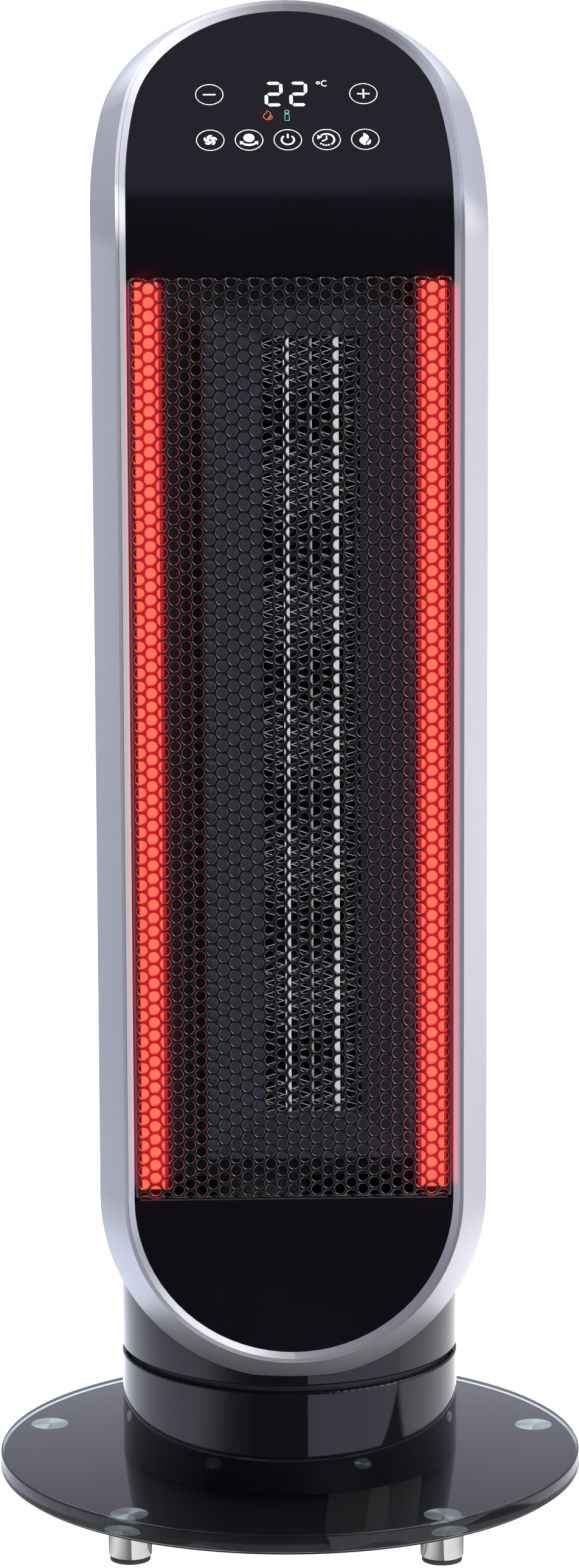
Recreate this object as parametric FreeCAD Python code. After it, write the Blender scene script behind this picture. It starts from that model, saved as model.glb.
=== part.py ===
import FreeCAD, Part
import math
import os

# Oscillating ceramic tower heater on a round glass base.
# Millimetres, +Z up, front towards -Y, origin on the floor under the turning axis.

# Fits and clearances
RUN = 0.05          # radial running fit of a shaft in its bore
FIT = 0.05          # radial play of a screw or pin in its hole
SEAM = 0.3          # visible gap between neighbouring shells
EDGE_GAP = 0.4      # gap between a panel and the next panel
TURN_GAP = 0.1      # axial play under the turning tower

# Feet and glass plate
FOOT_COUNT = 5
FOOT_INSET = 14.0
FOOT_TURN = -2.7    # how the plate is turned under the tower
FOOT_R = 9.0
FOOT_TOP_Z = 13.0
PAD_THICK = 2.0
PAD_R = 8.4
PAD_PLUG_R = 6.5
PAD_PLUG_LENGTH = 5.0
DISC_R = 8.0
BACKING_THICK = 1.0
BACKING_MARGIN = 2.0
PLATE_R = 125.0
PLATE_THICK = 8.0
PLATE_HOLE_R = 30.0
PLATE_EDGE_BEVEL = 0.8

# Base ring and its fastening
RING_R = 72.0
RING_WALL = 3.0
RING_HEIGHT = 44.5
RING_DECK = 4.0
RING_DECK_HOLE_R = 46.0
RING_EDGE_ROUND = 0.8
FLOOR_THICK = 6.0
CLAMP_R = 50.0
CLAMP_THICK = 2.0
BASE_SCREW_R = 2.5
BASE_SCREW_CIRCLE_R = 22.0
RING_BOSS_R = 4.5
BOSS_INSET = 9.0
BOSS_SCREW_R = 2.0
BOSS_SCREW_LENGTH = 18.0
SCREW_COUNT = 4
HEAD_RATIO = 1.8
HEAD_HEIGHT = 2.8

# Turntable
GROOVE_HEIGHT = 3.0
GROOVE_DEPTH = 3.5
SLIP_RING_WIDTH = 20.0
TUBE_R = 18.0
TUBE_WALL = 4.0
TUBE_FLANGE_R = 28.0
TUBE_FLANGE_THICK = 3.0
BUSHING_WALL = 4.0
BUSHING_HEIGHT = 16.5
RETAINER_THICK = 1.5
RETAINER_DEPTH = 1.0
RETAINER_R = 21.0
TUBE_END = 1.5

# Swing gears
GEAR_MODULE = 1.25
GEAR_TEETH = 40
PINION_TEETH = 16
GEAR_WIDTH = 6.8
GEAR_BACKLASH = 0.12
PRESSURE_ANGLE = 20.0
PINION_SHAFT_R = 3.0
PINION_SHAFT_LENGTH = 16.0
SWING_MOTOR_R = 21.0
SWING_MOTOR_GAP = 4.0

# Cord inlet and terminals in the base
GLAND_R = 7.0
GLAND_BORE_R = 3.6
GLAND_Z = 42.0
GLAND_FLANGE_R = 10.0
GLAND_FLANGE_THICK = 3.0
GLAND_INSIDE = 4.0
TERMINAL_SIZE = (30.0, 16.0, 14.0)
TERMINAL_INSET = 22.0

# Neck
NECK_WALL = 3.0
NECK_FLOOR = 4.5
NECK_TOP_Z = 118.0

# Front face, seen as a sheet that is upright below and leans back above
FACE_Y = -79.0
FACE_W = 66.3
ARCH_Z = 152.9
CONTROL_Z = 537.4
BEND_Z = 548.1
BEND_R = 32.0
TILT = 48.0
HEAD_LENGTH = 98.0
HEAD_SIDE_R = 264.0
PANEL_THICK = 2.5

# Front frame section, outward from the panel edge and back from the face
LIP_WIDTH = 2.5
LIP_PROUD = 1.8
LIP_STEP = 0.3
SHOULDER_WIDTH = 1.6
BAND_PROUD = 2.1
BAND_MID = (9.2, 3.0)
FRAME_OUT = 14.2
BAND_BACK = 9.0
FRAME_WALL = 2.5
FRAME_DEPTH = 26.0
FLANGE_WIDTH = 10.0
FLANGE_THICK = 2.5
LEDGE_WIDTH = 3.0
LEDGE_THICK = 2.0

# Rear housing
HOUSING_WALL = 2.5
HOUSING_FLOOR = 3.0
HOUSING_BACK_R = 74.0
HOUSING_BACK_Y = 6.0
HOUSING_LOW_ROUND = 5.0
WIRE_HOLE_R = 15.0
INTAKE_HALF_WIDTH = 48.0
INTAKE_Z = (200.0, 480.0)
INTAKE_PITCH = 12.0
INTAKE_SLOT = 6.0
INTAKE_RIM = 5.0
INTAKE_RIB = 3.0
FILTER_THICK = 2.0
FILTER_MARGIN = 2.0
LUG_SIZE = 8.0
LUG_THICK = 3.0
LUG_Z = (175.0, 345.0, 515.0)
FRAME_SCREW_R = 1.5
FRAME_SCREW_INSET = 6.9
FRAME_SCREW_HEAD = 2.4

# Grille, with one coarse hole for each group of the real perforation
GRILLE_SHEET = 1.2
GRILLE_RIM = 1.5
GRILLE_EDGE = 1.0
GRILLE_PITCH = 13.75
GRILLE_HOLE_R = 5.6

# Chassis and outlet duct
CHASSIS_THICK = 3.0
CHASSIS_GAP = 1.0
CHASSIS_Z = (156.0, 536.0)
HEATER_X = 9.0
HEATER_WIDTH = 43.0
HEATER_Z = (182.0, 511.0)
HEATER_DEPTH = 15.0
HEATER_SETBACK = 1.0
DUCT_FRONT_V = 8.0
DUCT_FRONT_X = (-35.0, 50.0)
DUCT_FRONT_Z = (168.0, 524.0)
DUCT_WALL = 1.5
CUTOUT_SIZE = (4.0, 7.0, 18.0)
CUTOUT_Z = 432.0

# Side lights
LIGHT_X = (52.0, 64.0)
LIGHT_Z = (155.0, 533.0)
GUIDE_V = 10.0
GUIDE_DEPTH = 6.0
STRIP_DEPTH = 1.6

# Ceramic heater
BAR_WIDTH = 2.4
BAR_OFFSET = 10.2
SIDE_PLATE = 0.8
FIN_PITCH = 5.0
FIN_SHEET = 0.3
FIN_SETBACK = 1.0
HOLDER_HEIGHT = 3.0

# Crossflow fan
FAN_OFFSET = 14.0
FAN_Y = 12.0
FAN_R = 26.0
FAN_GAP = 3.5
BLADE_COUNT = 24
BLADE_THICK = 1.0
BLADE_INNER_R = 19.0
BLADE_SWEEP = 14.0
FAN_DISC = 2.0
FAN_DISC_COUNT = 4
FAN_END_GAP = 3.0
SHAFT_R = 3.0
SHAFT_HUB_R = 7.0
SCROLL_WALL = 2.0
SCROLL_START = 130.0
SCROLL_STEPS = 13
SCROLL_GROWTH = 9.5
TONGUE_SETBACK = 28.5
TONGUE_ANGLE = 235.0
ENDPLATE_THICK = 3.0
ENDPLATE_X = (-50.0, 36.0)
ENDPLATE_BACK = 46.0
FAN_MOTOR_R = 22.0
FAN_MOTOR_HEIGHT = 44.0
MOTOR_SHAFT_DEPTH = 40.0
BEARING_HEIGHT = 8.0

# Display and touch keys, in the leaning plane of the control panel
KEY_PITCH = 15.75
KEY_ROW_LOW = 25.7
KEY_ROW_HIGH = 51.0
TOUCH_PAD_R = 4.0
BOARD_GAP = 6.5
BOARD_THICK = 1.6
DISPLAY_BOARD_HALF = 45.0
DISPLAY_BOARD_T = (16.6, 71.6)
DISPLAY_HALF = 21.0
DISPLAY_T = (43.0, 62.0)
POST_R = 3.0
POST_X = 41.0
POST_T = (37.6, 67.6)
POST_SCREW_R = 1.2
POST_SCREW_LENGTH = 4.0

# Control board in the tower
POWER_BOARD_X = 58.0
POWER_BOARD_DEPTH = 60.0
POWER_BOARD_Z = (220.0, 400.0)
RELAY_SIZE = (15.0, 18.0, 20.0)
RELAY_COUNT = 3
RELAY_PITCH = 26.0
TILT_SWITCH_SIZE = (12.0, 14.0, 16.0)

# Levels and positions that follow from the sizes above
FOOT_CIRCLE_R = PLATE_R - FOOT_INSET
PLATE_Z = FOOT_TOP_Z + BACKING_THICK
PLATE_TOP = PLATE_Z + PLATE_THICK
RING_TOP = PLATE_TOP + RING_HEIGHT
FLOOR_TOP = PLATE_TOP + FLOOR_THICK
RING_INNER_R = RING_R - RING_WALL
BOSS_CIRCLE_R = RING_INNER_R - BOSS_INSET
TERMINAL_Y = RING_INNER_R - TERMINAL_INSET
NECK_Z = RING_TOP + GROOVE_HEIGHT
BUSHING_TOP = NECK_Z + BUSHING_HEIGHT
GEAR_Z = BUSHING_TOP + 2 * TURN_GAP
GEAR_TOP = GEAR_Z + GEAR_WIDTH
TUBE_TOP = GEAR_TOP + RETAINER_THICK + TUBE_END
GEAR_DISTANCE = GEAR_MODULE * (GEAR_TEETH + PINION_TEETH) / 2 + GEAR_BACKLASH
SWING_MOTOR_Z = GEAR_TOP + SWING_MOTOR_GAP
FRAME_BACK_Y = FACE_Y + FRAME_DEPTH
CHASSIS_BACK_Y = FRAME_BACK_Y + CHASSIS_THICK
OUTER_W = FACE_W + FRAME_OUT
FRAME_SCREW_X = OUTER_W - FRAME_SCREW_INSET
HEATER_FRONT_Y = CHASSIS_BACK_Y + HEATER_SETBACK
FAN_X = -FAN_OFFSET
HEATER_LEFT = HEATER_X - HEATER_WIDTH / 2
HEATER_RIGHT = HEATER_X + HEATER_WIDTH / 2
FAN_Z = (HEATER_Z[0] - HOLDER_HEIGHT, HEATER_Z[1] + HOLDER_HEIGHT)
HEAD_TOP_R = (HEAD_SIDE_R ** 2 - (HEAD_SIDE_R - FACE_W) ** 2 - HEAD_LENGTH ** 2) / (
    2 * (HEAD_SIDE_R - HEAD_LENGTH))
HEAD_TOP_T = HEAD_LENGTH - HEAD_TOP_R
HEAD_SPLIT = math.degrees(math.atan2(HEAD_TOP_T, HEAD_SIDE_R - FACE_W))
REACH = 800.0       # longer than any size of the object, for cutters

V = FreeCAD.Vector
X_AXIS = V(1, 0, 0)
Y_AXIS = V(0, 1, 0)
Z_AXIS = V(0, 0, 1)
TILT_RAD = math.radians(TILT)
SLOPE = V(0, math.sin(TILT_RAD), math.cos(TILT_RAD))
OUTWARD = V(0, -math.cos(TILT_RAD), math.sin(TILT_RAD))
BEND_AXIS = V(0, FACE_Y + BEND_R, BEND_Z)
HEAD_ORIGIN = BEND_AXIS + OUTWARD * BEND_R


# Shape helpers
def box(x, y, z):
    return Part.makeBox(x[1] - x[0], y[1] - y[0], z[1] - z[0], V(x[0], y[0], z[0]))


def cylinder(radius, z, x=0.0, y=0.0):
    return Part.makeCylinder(radius, z[1] - z[0], V(x, y, z[0]))


def tube(radius, bore, z, x=0.0, y=0.0):
    return cylinder(radius, z, x, y).cut(cylinder(bore, z, x, y))


def joined(shapes):
    result = shapes[0]
    if len(shapes) > 1:
        result = result.fuse(shapes[1:])
    return result.removeSplitter()


def polygon_face(points):
    return Part.Face(Part.makePolygon(points + points[:1]))


def polar(radius, degrees, z=0.0, x=0.0, y=0.0):
    angle = math.radians(degrees)
    return V(x + radius * math.cos(angle), y + radius * math.sin(angle), z)


def corner_angles(count):
    return [(i + 0.5) * 360.0 / count for i in range(count)]


def foot_places():
    step = 360.0 / FOOT_COUNT
    return [polar(FOOT_CIRCLE_R, 90.0 + FOOT_TURN + i * step) for i in range(FOOT_COUNT)]


def screw(radius, length, head_height=HEAD_HEIGHT):
    # Shank along +Z from the origin, head below it
    return joined([Part.makeCylinder(radius, length),
                   Part.makeCylinder(radius * HEAD_RATIO, head_height, V(0, 0, -head_height))])


def placed(shape, position, direction=Z_AXIS):
    copy = shape.copy()
    copy.Placement = FreeCAD.Placement(position, FreeCAD.Rotation(Z_AXIS, direction))
    return copy


def on_head(x, t, v=0.0):
    # Point on the leaning plane: x across, t up the slope, v back from the face
    return HEAD_ORIGIN + X_AXIS * x + SLOPE * t - OUTWARD * v


def head_box(x, t, v):
    corners = [on_head(x[0], t[0], v[0]), on_head(x[1], t[0], v[0]),
               on_head(x[1], t[1], v[0]), on_head(x[0], t[1], v[0])]
    return polygon_face(corners).extrude(OUTWARD * (v[0] - v[1]))


def head_cylinder(radius, x, t, v):
    return Part.makeCylinder(radius, v[1] - v[0], on_head(x, t, v[0]), OUTWARD * -1)


def head_outline(offset, low):
    # Arched end of the face in the leaning plane, drawn down to t = low
    half = FACE_W + offset
    split = math.radians(HEAD_SPLIT)
    side_x = FACE_W - HEAD_SIDE_R
    side_r = HEAD_SIDE_R + offset

    def side_point(angle):
        return side_x + side_r * math.cos(angle), side_r * math.sin(angle)

    mid_x, mid_t = side_point(split / 2)
    end_x, end_t = side_point(split)
    top_t = HEAD_LENGTH + offset
    edges = [Part.LineSegment(on_head(half, low), on_head(half, 0.0)).toShape()] if low < 0 else []
    edges.append(Part.Arc(on_head(half, 0.0), on_head(mid_x, mid_t), on_head(end_x, end_t)).toShape())
    edges.append(Part.Arc(on_head(end_x, end_t), on_head(0.0, top_t), on_head(-end_x, end_t)).toShape())
    edges.append(Part.Arc(on_head(-end_x, end_t), on_head(-mid_x, mid_t), on_head(-half, 0.0)).toShape())
    if low < 0:
        edges.append(Part.LineSegment(on_head(-half, 0.0), on_head(-half, low)).toShape())
    edges.append(Part.LineSegment(on_head(-half, low), on_head(half, low)).toShape())
    return Part.Face(Part.Wire(edges))


def arch_face(offset, top, y):
    # Half-round lower end of the face with straight sides up to z = top
    half = FACE_W + offset
    arc = Part.Arc(V(-half, y, ARCH_Z), V(0, y, ARCH_Z - half), V(half, y, ARCH_Z)).toShape()
    sides = [Part.LineSegment(V(half, y, ARCH_Z), V(half, y, top)).toShape(),
             Part.LineSegment(V(half, y, top), V(-half, y, top)).toShape(),
             Part.LineSegment(V(-half, y, top), V(-half, y, ARCH_Z)).toShape()]
    return Part.Face(Part.Wire([arc] + sides))


def bent(face, degrees):
    copy = face.copy()
    copy.rotate(BEND_AXIS, X_AXIS, -degrees)
    return copy


def export(name, shape):
    shape.exportStep("parts/" + name + ".step")


# Feet: rubber pads plugged into turned feet, a metal disc over each
def foot_pads():
    pad = joined([cylinder(PAD_R, (0.0, PAD_THICK)),
                  cylinder(PAD_PLUG_R, (PAD_THICK, PAD_THICK + PAD_PLUG_LENGTH))])
    return Part.makeCompound([placed(pad, place) for place in foot_places()])


def feet():
    pocket = cylinder(PAD_PLUG_R + SEAM, (PAD_THICK, PAD_THICK + PAD_PLUG_LENGTH + SEAM))
    foot = cylinder(FOOT_R, (PAD_THICK, FOOT_TOP_Z)).cut(pocket)
    return Part.makeCompound([placed(foot, place) for place in foot_places()])


def foot_discs():
    disc = cylinder(DISC_R, (FOOT_TOP_Z, PLATE_Z))
    return Part.makeCompound([placed(disc, place) for place in foot_places()])


# Glass plate with a dark sheet under it
def plate_backing():
    sheet = tube(PLATE_R - BACKING_MARGIN, PLATE_HOLE_R, (FOOT_TOP_Z, PLATE_Z))
    hole = cylinder(DISC_R + SEAM, (FOOT_TOP_Z, PLATE_Z))
    return sheet.cut([placed(hole, place) for place in foot_places()])


def glass_plate():
    plate = tube(PLATE_R, PLATE_HOLE_R, (PLATE_Z, PLATE_TOP))
    rims = [edge for edge in plate.Edges if edge.Curve.TypeId == "Part::GeomCircle"
            and edge.Curve.Radius > PLATE_HOLE_R]
    return plate.makeChamfer(PLATE_EDGE_BEVEL, rims)


# Base: clamp plate and ballast floor grip the glass, the ring stands on it
def base_screw_places(z):
    return [polar(BASE_SCREW_CIRCLE_R, angle, z) for angle in corner_angles(SCREW_COUNT)]


def base_screw_holes():
    hole = Part.makeCylinder(BASE_SCREW_R + FIT, REACH)
    return [placed(hole, place) for place in base_screw_places(0.0)]


def clamp_plate():
    plate = tube(CLAMP_R, TUBE_R - TUBE_WALL, (FOOT_TOP_Z - CLAMP_THICK, FOOT_TOP_Z))
    return plate.cut(base_screw_holes())


def base_screws():
    start = FOOT_TOP_Z - CLAMP_THICK
    one = screw(BASE_SCREW_R, FLOOR_TOP + TUBE_FLANGE_THICK - start)
    return Part.makeCompound([placed(one, place) for place in base_screw_places(start)])


def boss_places(z):
    return [polar(BOSS_CIRCLE_R, angle, z) for angle in corner_angles(SCREW_COUNT)]


def base_floor():
    plate = tube(RING_INNER_R - SEAM, TUBE_R - TUBE_WALL, (PLATE_TOP, FLOOR_TOP))
    sink = Part.makeCylinder(BOSS_SCREW_R * HEAD_RATIO + SEAM, HEAD_HEIGHT)
    shank = Part.makeCylinder(BOSS_SCREW_R + FIT, FLOOR_THICK)
    cutters = base_screw_holes()
    cutters += [placed(sink, place) for place in boss_places(PLATE_TOP)]
    cutters += [placed(shank, place) for place in boss_places(PLATE_TOP)]
    return plate.cut(cutters)


def ring_screws():
    one = screw(BOSS_SCREW_R, BOSS_SCREW_LENGTH)
    return Part.makeCompound([placed(one, place) for place in boss_places(PLATE_TOP + HEAD_HEIGHT)])


def round_rim(shape, z):
    # Rounds the outer edge of the base ring or the neck at height z
    rim = [edge for edge in shape.Edges if edge.Curve.TypeId == "Part::GeomCircle"
           and edge.Curve.Center.z == z and edge.Curve.Radius == RING_R]
    return shape.makeFillet(RING_EDGE_ROUND, rim)


def base_ring():
    deck_z = RING_TOP - RING_DECK
    wall = tube(RING_R, RING_INNER_R, (PLATE_TOP, RING_TOP))
    deck = tube(RING_R, RING_DECK_HOLE_R, (deck_z, RING_TOP))
    boss = Part.makeCylinder(RING_BOSS_R, deck_z - FLOOR_TOP)
    bosses = [placed(boss, place) for place in boss_places(FLOOR_TOP)]
    ring = round_rim(joined([wall, deck] + bosses), RING_TOP)
    pilot = Part.makeCylinder(BOSS_SCREW_R + FIT, BOSS_SCREW_LENGTH)
    inlet = Part.makeCylinder(GLAND_R + FIT, RING_R, V(0, 0, GLAND_Z), Y_AXIS)
    return ring.cut([placed(pilot, place) for place in boss_places(FLOOR_TOP)] + [inlet])


def cord_gland():
    back = RING_R + GLAND_FLANGE_THICK
    front = RING_INNER_R - GLAND_INSIDE
    stem = Part.makeCylinder(GLAND_R, back - front, V(0, front, GLAND_Z), Y_AXIS)
    flange = Part.makeCylinder(GLAND_FLANGE_R, GLAND_FLANGE_THICK + RING_WALL,
                               V(0, RING_INNER_R, GLAND_Z), Y_AXIS)
    flange = flange.cut(cylinder(RING_R, (0.0, REACH)))
    bore = Part.makeCylinder(GLAND_BORE_R, REACH, V(0, 0, GLAND_Z), Y_AXIS)
    return joined([stem, flange]).cut(bore)


def terminal_block():
    width, depth, height = TERMINAL_SIZE
    return box((-width / 2, width / 2), (TERMINAL_Y - depth / 2, TERMINAL_Y + depth / 2),
               (FLOOR_TOP, FLOOR_TOP + height))


# Turntable: fixed tube and gear in the middle, slip ring in the dark groove
def turntable_ring():
    outer = RING_R - GROOVE_DEPTH
    return tube(outer, outer - SLIP_RING_WIDTH, (RING_TOP, NECK_Z - TURN_GAP))


def pivot_tube():
    bore = TUBE_R - TUBE_WALL
    shape = joined([tube(TUBE_R, bore, (FLOOR_TOP, TUBE_TOP)),
                    tube(TUBE_FLANGE_R, bore, (FLOOR_TOP, FLOOR_TOP + TUBE_FLANGE_THICK))])
    groove = tube(TUBE_R, TUBE_R - RETAINER_DEPTH, (GEAR_TOP, GEAR_TOP + RETAINER_THICK))
    return shape.cut([groove] + base_screw_holes())


def retaining_ring():
    return tube(RETAINER_R, TUBE_R - RETAINER_DEPTH, (GEAR_TOP, GEAR_TOP + RETAINER_THICK))


def involute_gear(teeth, z, width, turn):
    # Straight-toothed gear; a tooth points along +Y when turn is zero
    pitch_r = GEAR_MODULE * teeth / 2
    base_r = pitch_r * math.cos(math.radians(PRESSURE_ANGLE))
    tip_r = pitch_r + GEAR_MODULE
    root_r = pitch_r - 1.25 * GEAR_MODULE

    def involute(radius):
        angle = math.acos(min(1.0, base_r / radius))
        return math.tan(angle) - angle

    half_pitch = (math.pi * GEAR_MODULE / 2 - GEAR_BACKLASH) / (2 * pitch_r) + involute(pitch_r)
    start_r = max(base_r, root_r)
    flank = [start_r + (tip_r - start_r) * i / 4 for i in range(5)]
    points = []
    for tooth in range(teeth):
        middle = math.radians(90.0 + turn) + 2 * math.pi * tooth / teeth
        side = [(r, half_pitch - involute(r)) for r in flank]
        if root_r < start_r:
            side.insert(0, (root_r, side[0][1]))
        for r, a in side:
            points.append(V(r * math.cos(middle - a), r * math.sin(middle - a), z))
        for r, a in reversed(side):
            points.append(V(r * math.cos(middle + a), r * math.sin(middle + a), z))
    return polygon_face(points).extrude(Z_AXIS * width)


def oscillation_gear():
    gear = involute_gear(GEAR_TEETH, GEAR_Z, GEAR_WIDTH, 0.0)
    return gear.cut(cylinder(TUBE_R + FIT, (GEAR_Z, GEAR_TOP)))


def oscillation_pinion():
    gear = involute_gear(PINION_TEETH, GEAR_Z, GEAR_WIDTH, 180.0 / PINION_TEETH)
    shaft = cylinder(PINION_SHAFT_R, (GEAR_Z, SWING_MOTOR_Z + PINION_SHAFT_LENGTH))
    return placed(joined([gear, shaft]), V(0, GEAR_DISTANCE, 0))


def oscillation_motor():
    motor = cylinder(SWING_MOTOR_R, (SWING_MOTOR_Z, NECK_TOP_Z), 0.0, GEAR_DISTANCE)
    bore = cylinder(PINION_SHAFT_R + RUN, (SWING_MOTOR_Z, SWING_MOTOR_Z + PINION_SHAFT_LENGTH + SEAM),
                    0.0, GEAR_DISTANCE)
    return motor.cut(bore)


# Neck: round shell under the housing, notched for the front frame
def frame_notch():
    notch = arch_face(FRAME_OUT + SEAM, NECK_TOP_Z + ARCH_Z, -REACH / 2)
    notch = notch.extrude(Y_AXIS * (REACH / 2 + FRAME_BACK_Y + SEAM))
    return notch.cut(box((-REACH, REACH), (-REACH, REACH), (0.0, NECK_Z + NECK_FLOOR)))


def neck():
    bore = TUBE_R + RUN + BUSHING_WALL + FIT
    wall = tube(RING_R, RING_R - NECK_WALL, (NECK_Z, NECK_TOP_Z))
    floor = tube(RING_R, bore, (NECK_Z, NECK_Z + NECK_FLOOR))
    boss = Part.makeCylinder(RING_BOSS_R, NECK_TOP_Z - NECK_Z)
    shape = joined([wall, floor] + [placed(boss, place) for place in boss_places(NECK_Z)])
    pilot = Part.makeCylinder(BOSS_SCREW_R + FIT, BOSS_SCREW_LENGTH)
    pilots = [placed(pilot, place) for place in boss_places(NECK_TOP_Z - BOSS_SCREW_LENGTH)]
    return round_rim(shape, NECK_Z).cut([frame_notch()] + pilots)


def pivot_bushing():
    bore = TUBE_R + RUN
    return tube(bore + BUSHING_WALL, bore, (NECK_Z, BUSHING_TOP))


def neck_screws():
    one = screw(BOSS_SCREW_R, BOSS_SCREW_LENGTH)
    places = boss_places(NECK_TOP_Z + HOUSING_FLOOR)
    return Part.makeCompound([placed(one, place, Z_AXIS * -1) for place in places])


# Front frame: one section swept round the face
def frame_section(z):
    def at(u, v):
        return V(FACE_W + u, FACE_Y + v, z)

    band_in = LIP_WIDTH + SHOULDER_WIDTH
    wall_in = FRAME_OUT - FRAME_WALL
    ledge_back = PANEL_THICK + LEDGE_THICK
    before = [at(-LEDGE_WIDTH, PANEL_THICK), at(0.0, PANEL_THICK), at(0.0, 0.0),
              at(LIP_WIDTH, -LIP_PROUD), at(LIP_WIDTH, LIP_STEP - LIP_PROUD), at(band_in, -BAND_PROUD)]
    after = [at(FRAME_OUT, BAND_BACK), at(FRAME_OUT, FRAME_DEPTH),
             at(FRAME_OUT - FLANGE_WIDTH, FRAME_DEPTH),
             at(FRAME_OUT - FLANGE_WIDTH, FRAME_DEPTH - FLANGE_THICK),
             at(wall_in, FRAME_DEPTH - FLANGE_THICK), at(wall_in, BAND_BACK),
             at(band_in + LIP_WIDTH, ledge_back), at(-LEDGE_WIDTH, ledge_back)]
    edges = Part.makePolygon(before).Edges
    edges.append(Part.Arc(before[-1], at(*BAND_MID), after[0]).toShape())
    edges += Part.makePolygon(after + before[:1]).Edges
    return Part.Face(Part.Wire(edges))


def front_frame():
    low = frame_section(ARCH_Z)
    high = frame_section(BEND_Z)
    lean = bent(high, TILT)
    side_centre = on_head(FACE_W - HEAD_SIDE_R, 0.0)
    top_start = lean.copy()
    top_start.rotate(side_centre, OUTWARD, HEAD_SPLIT)
    half = [low.revolve(V(0, 0, ARCH_Z), Y_AXIS, 90.0),
            low.extrude(Z_AXIS * (BEND_Z - ARCH_Z)),
            high.revolve(BEND_AXIS, X_AXIS, -TILT),
            lean.revolve(side_centre, OUTWARD, HEAD_SPLIT),
            top_start.revolve(on_head(0.0, HEAD_TOP_T), OUTWARD, 90.0 - HEAD_SPLIT)]
    frame = joined(half + [piece.mirror(V(0, 0, 0), X_AXIS) for piece in half])
    neck_room = cylinder(RING_R + SEAM, (0.0, NECK_Z + NECK_FLOOR + SEAM))
    return frame.cut([neck_room] + frame_screw_holes())


def frame_screw_places(y):
    return [V(side * FRAME_SCREW_X, y, z) for side in (-1, 1) for z in LUG_Z]


def frame_screw_holes():
    hole = Part.makeCylinder(FRAME_SCREW_R + FIT, FLANGE_THICK + CHASSIS_THICK + LUG_THICK)
    start = FRAME_BACK_Y - FLANGE_THICK
    return [placed(hole, place, Y_AXIS) for place in frame_screw_places(start)]


def frame_screws():
    one = screw(FRAME_SCREW_R, FLANGE_THICK + CHASSIS_THICK + LUG_THICK, FRAME_SCREW_HEAD)
    places = frame_screw_places(CHASSIS_BACK_Y + LUG_THICK)
    return Part.makeCompound([placed(one, place, Y_AXIS * -1) for place in places])


# Rear housing: the space behind the frame, limited by four outlines
def housing_body(offset, floor_z, front_v):
    # Outlines seen from the front, along the lean, from above and from the side
    front = arch_face(FRAME_OUT + offset, REACH, -REACH).extrude(Y_AXIS * (2 * REACH))
    head = head_outline(FRAME_OUT + offset, -REACH)
    head.translate(OUTWARD * REACH)
    head = head.extrude(OUTWARD * (-2 * REACH))
    plan = back_outline(offset).extrude(Z_AXIS * REACH)
    return behind_face(front_v, floor_z).common(front).common(head).common(plan)


def back_outline(offset):
    # Round back with straight sides that run tangentially to just inside the frame's outer side
    side = OUTER_W - SEAM
    ahead = FRAME_BACK_Y - HOUSING_BACK_Y
    meet = math.degrees(math.atan2(ahead, side) + math.acos(HOUSING_BACK_R / math.hypot(side, ahead)))
    radius = HOUSING_BACK_R + offset
    right = polar(radius, meet, 0.0, 0.0, HOUSING_BACK_Y)
    left = V(-right.x, right.y, 0)
    front_right = right + polar(REACH / 2, meet - 90.0)
    front_left = V(-front_right.x, front_right.y, 0)
    back = V(0, HOUSING_BACK_Y + radius, 0)
    edges = [Part.Arc(right, back, left).toShape(), Part.LineSegment(left, front_left).toShape(),
             Part.LineSegment(front_left, front_right).toShape(),
             Part.LineSegment(front_right, right).toShape()]
    return Part.Face(Part.Wire(edges))


def behind_face(v, floor_z):
    # Everything behind the face sheet at depth v
    low = V(-REACH / 2, FACE_Y + v, floor_z)
    knee = V(-REACH / 2, FACE_Y + v, BEND_Z)
    radius = BEND_R - v

    def bend_point(degrees):
        angle = math.radians(degrees)
        return V(-REACH / 2, BEND_AXIS.y - radius * math.cos(angle), BEND_Z + radius * math.sin(angle))

    end = bend_point(TILT)
    crest = end + SLOPE * (REACH / 2)
    back = V(-REACH / 2, crest.y, floor_z)
    edges = [Part.LineSegment(low, knee).toShape(),
             Part.Arc(knee, bend_point(TILT / 2), end).toShape(),
             Part.LineSegment(end, crest).toShape(),
             Part.LineSegment(crest, back).toShape(),
             Part.LineSegment(back, low).toShape()]
    return Part.Face(Part.Wire(edges)).extrude(X_AXIS * REACH)


def housing_skin(outer, inner):
    # Layer of the housing wall between two depths under its outer surface
    return housing_body(-outer, NECK_TOP_Z, FRAME_DEPTH).cut(
        housing_body(-inner, NECK_TOP_Z + HOUSING_FLOOR, FRAME_DEPTH - SEAM))


def intake_window(margin):
    return box((-INTAKE_HALF_WIDTH + margin, INTAKE_HALF_WIDTH - margin), (0.0, REACH),
               (INTAKE_Z[0] + margin, INTAKE_Z[1] - margin))


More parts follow.
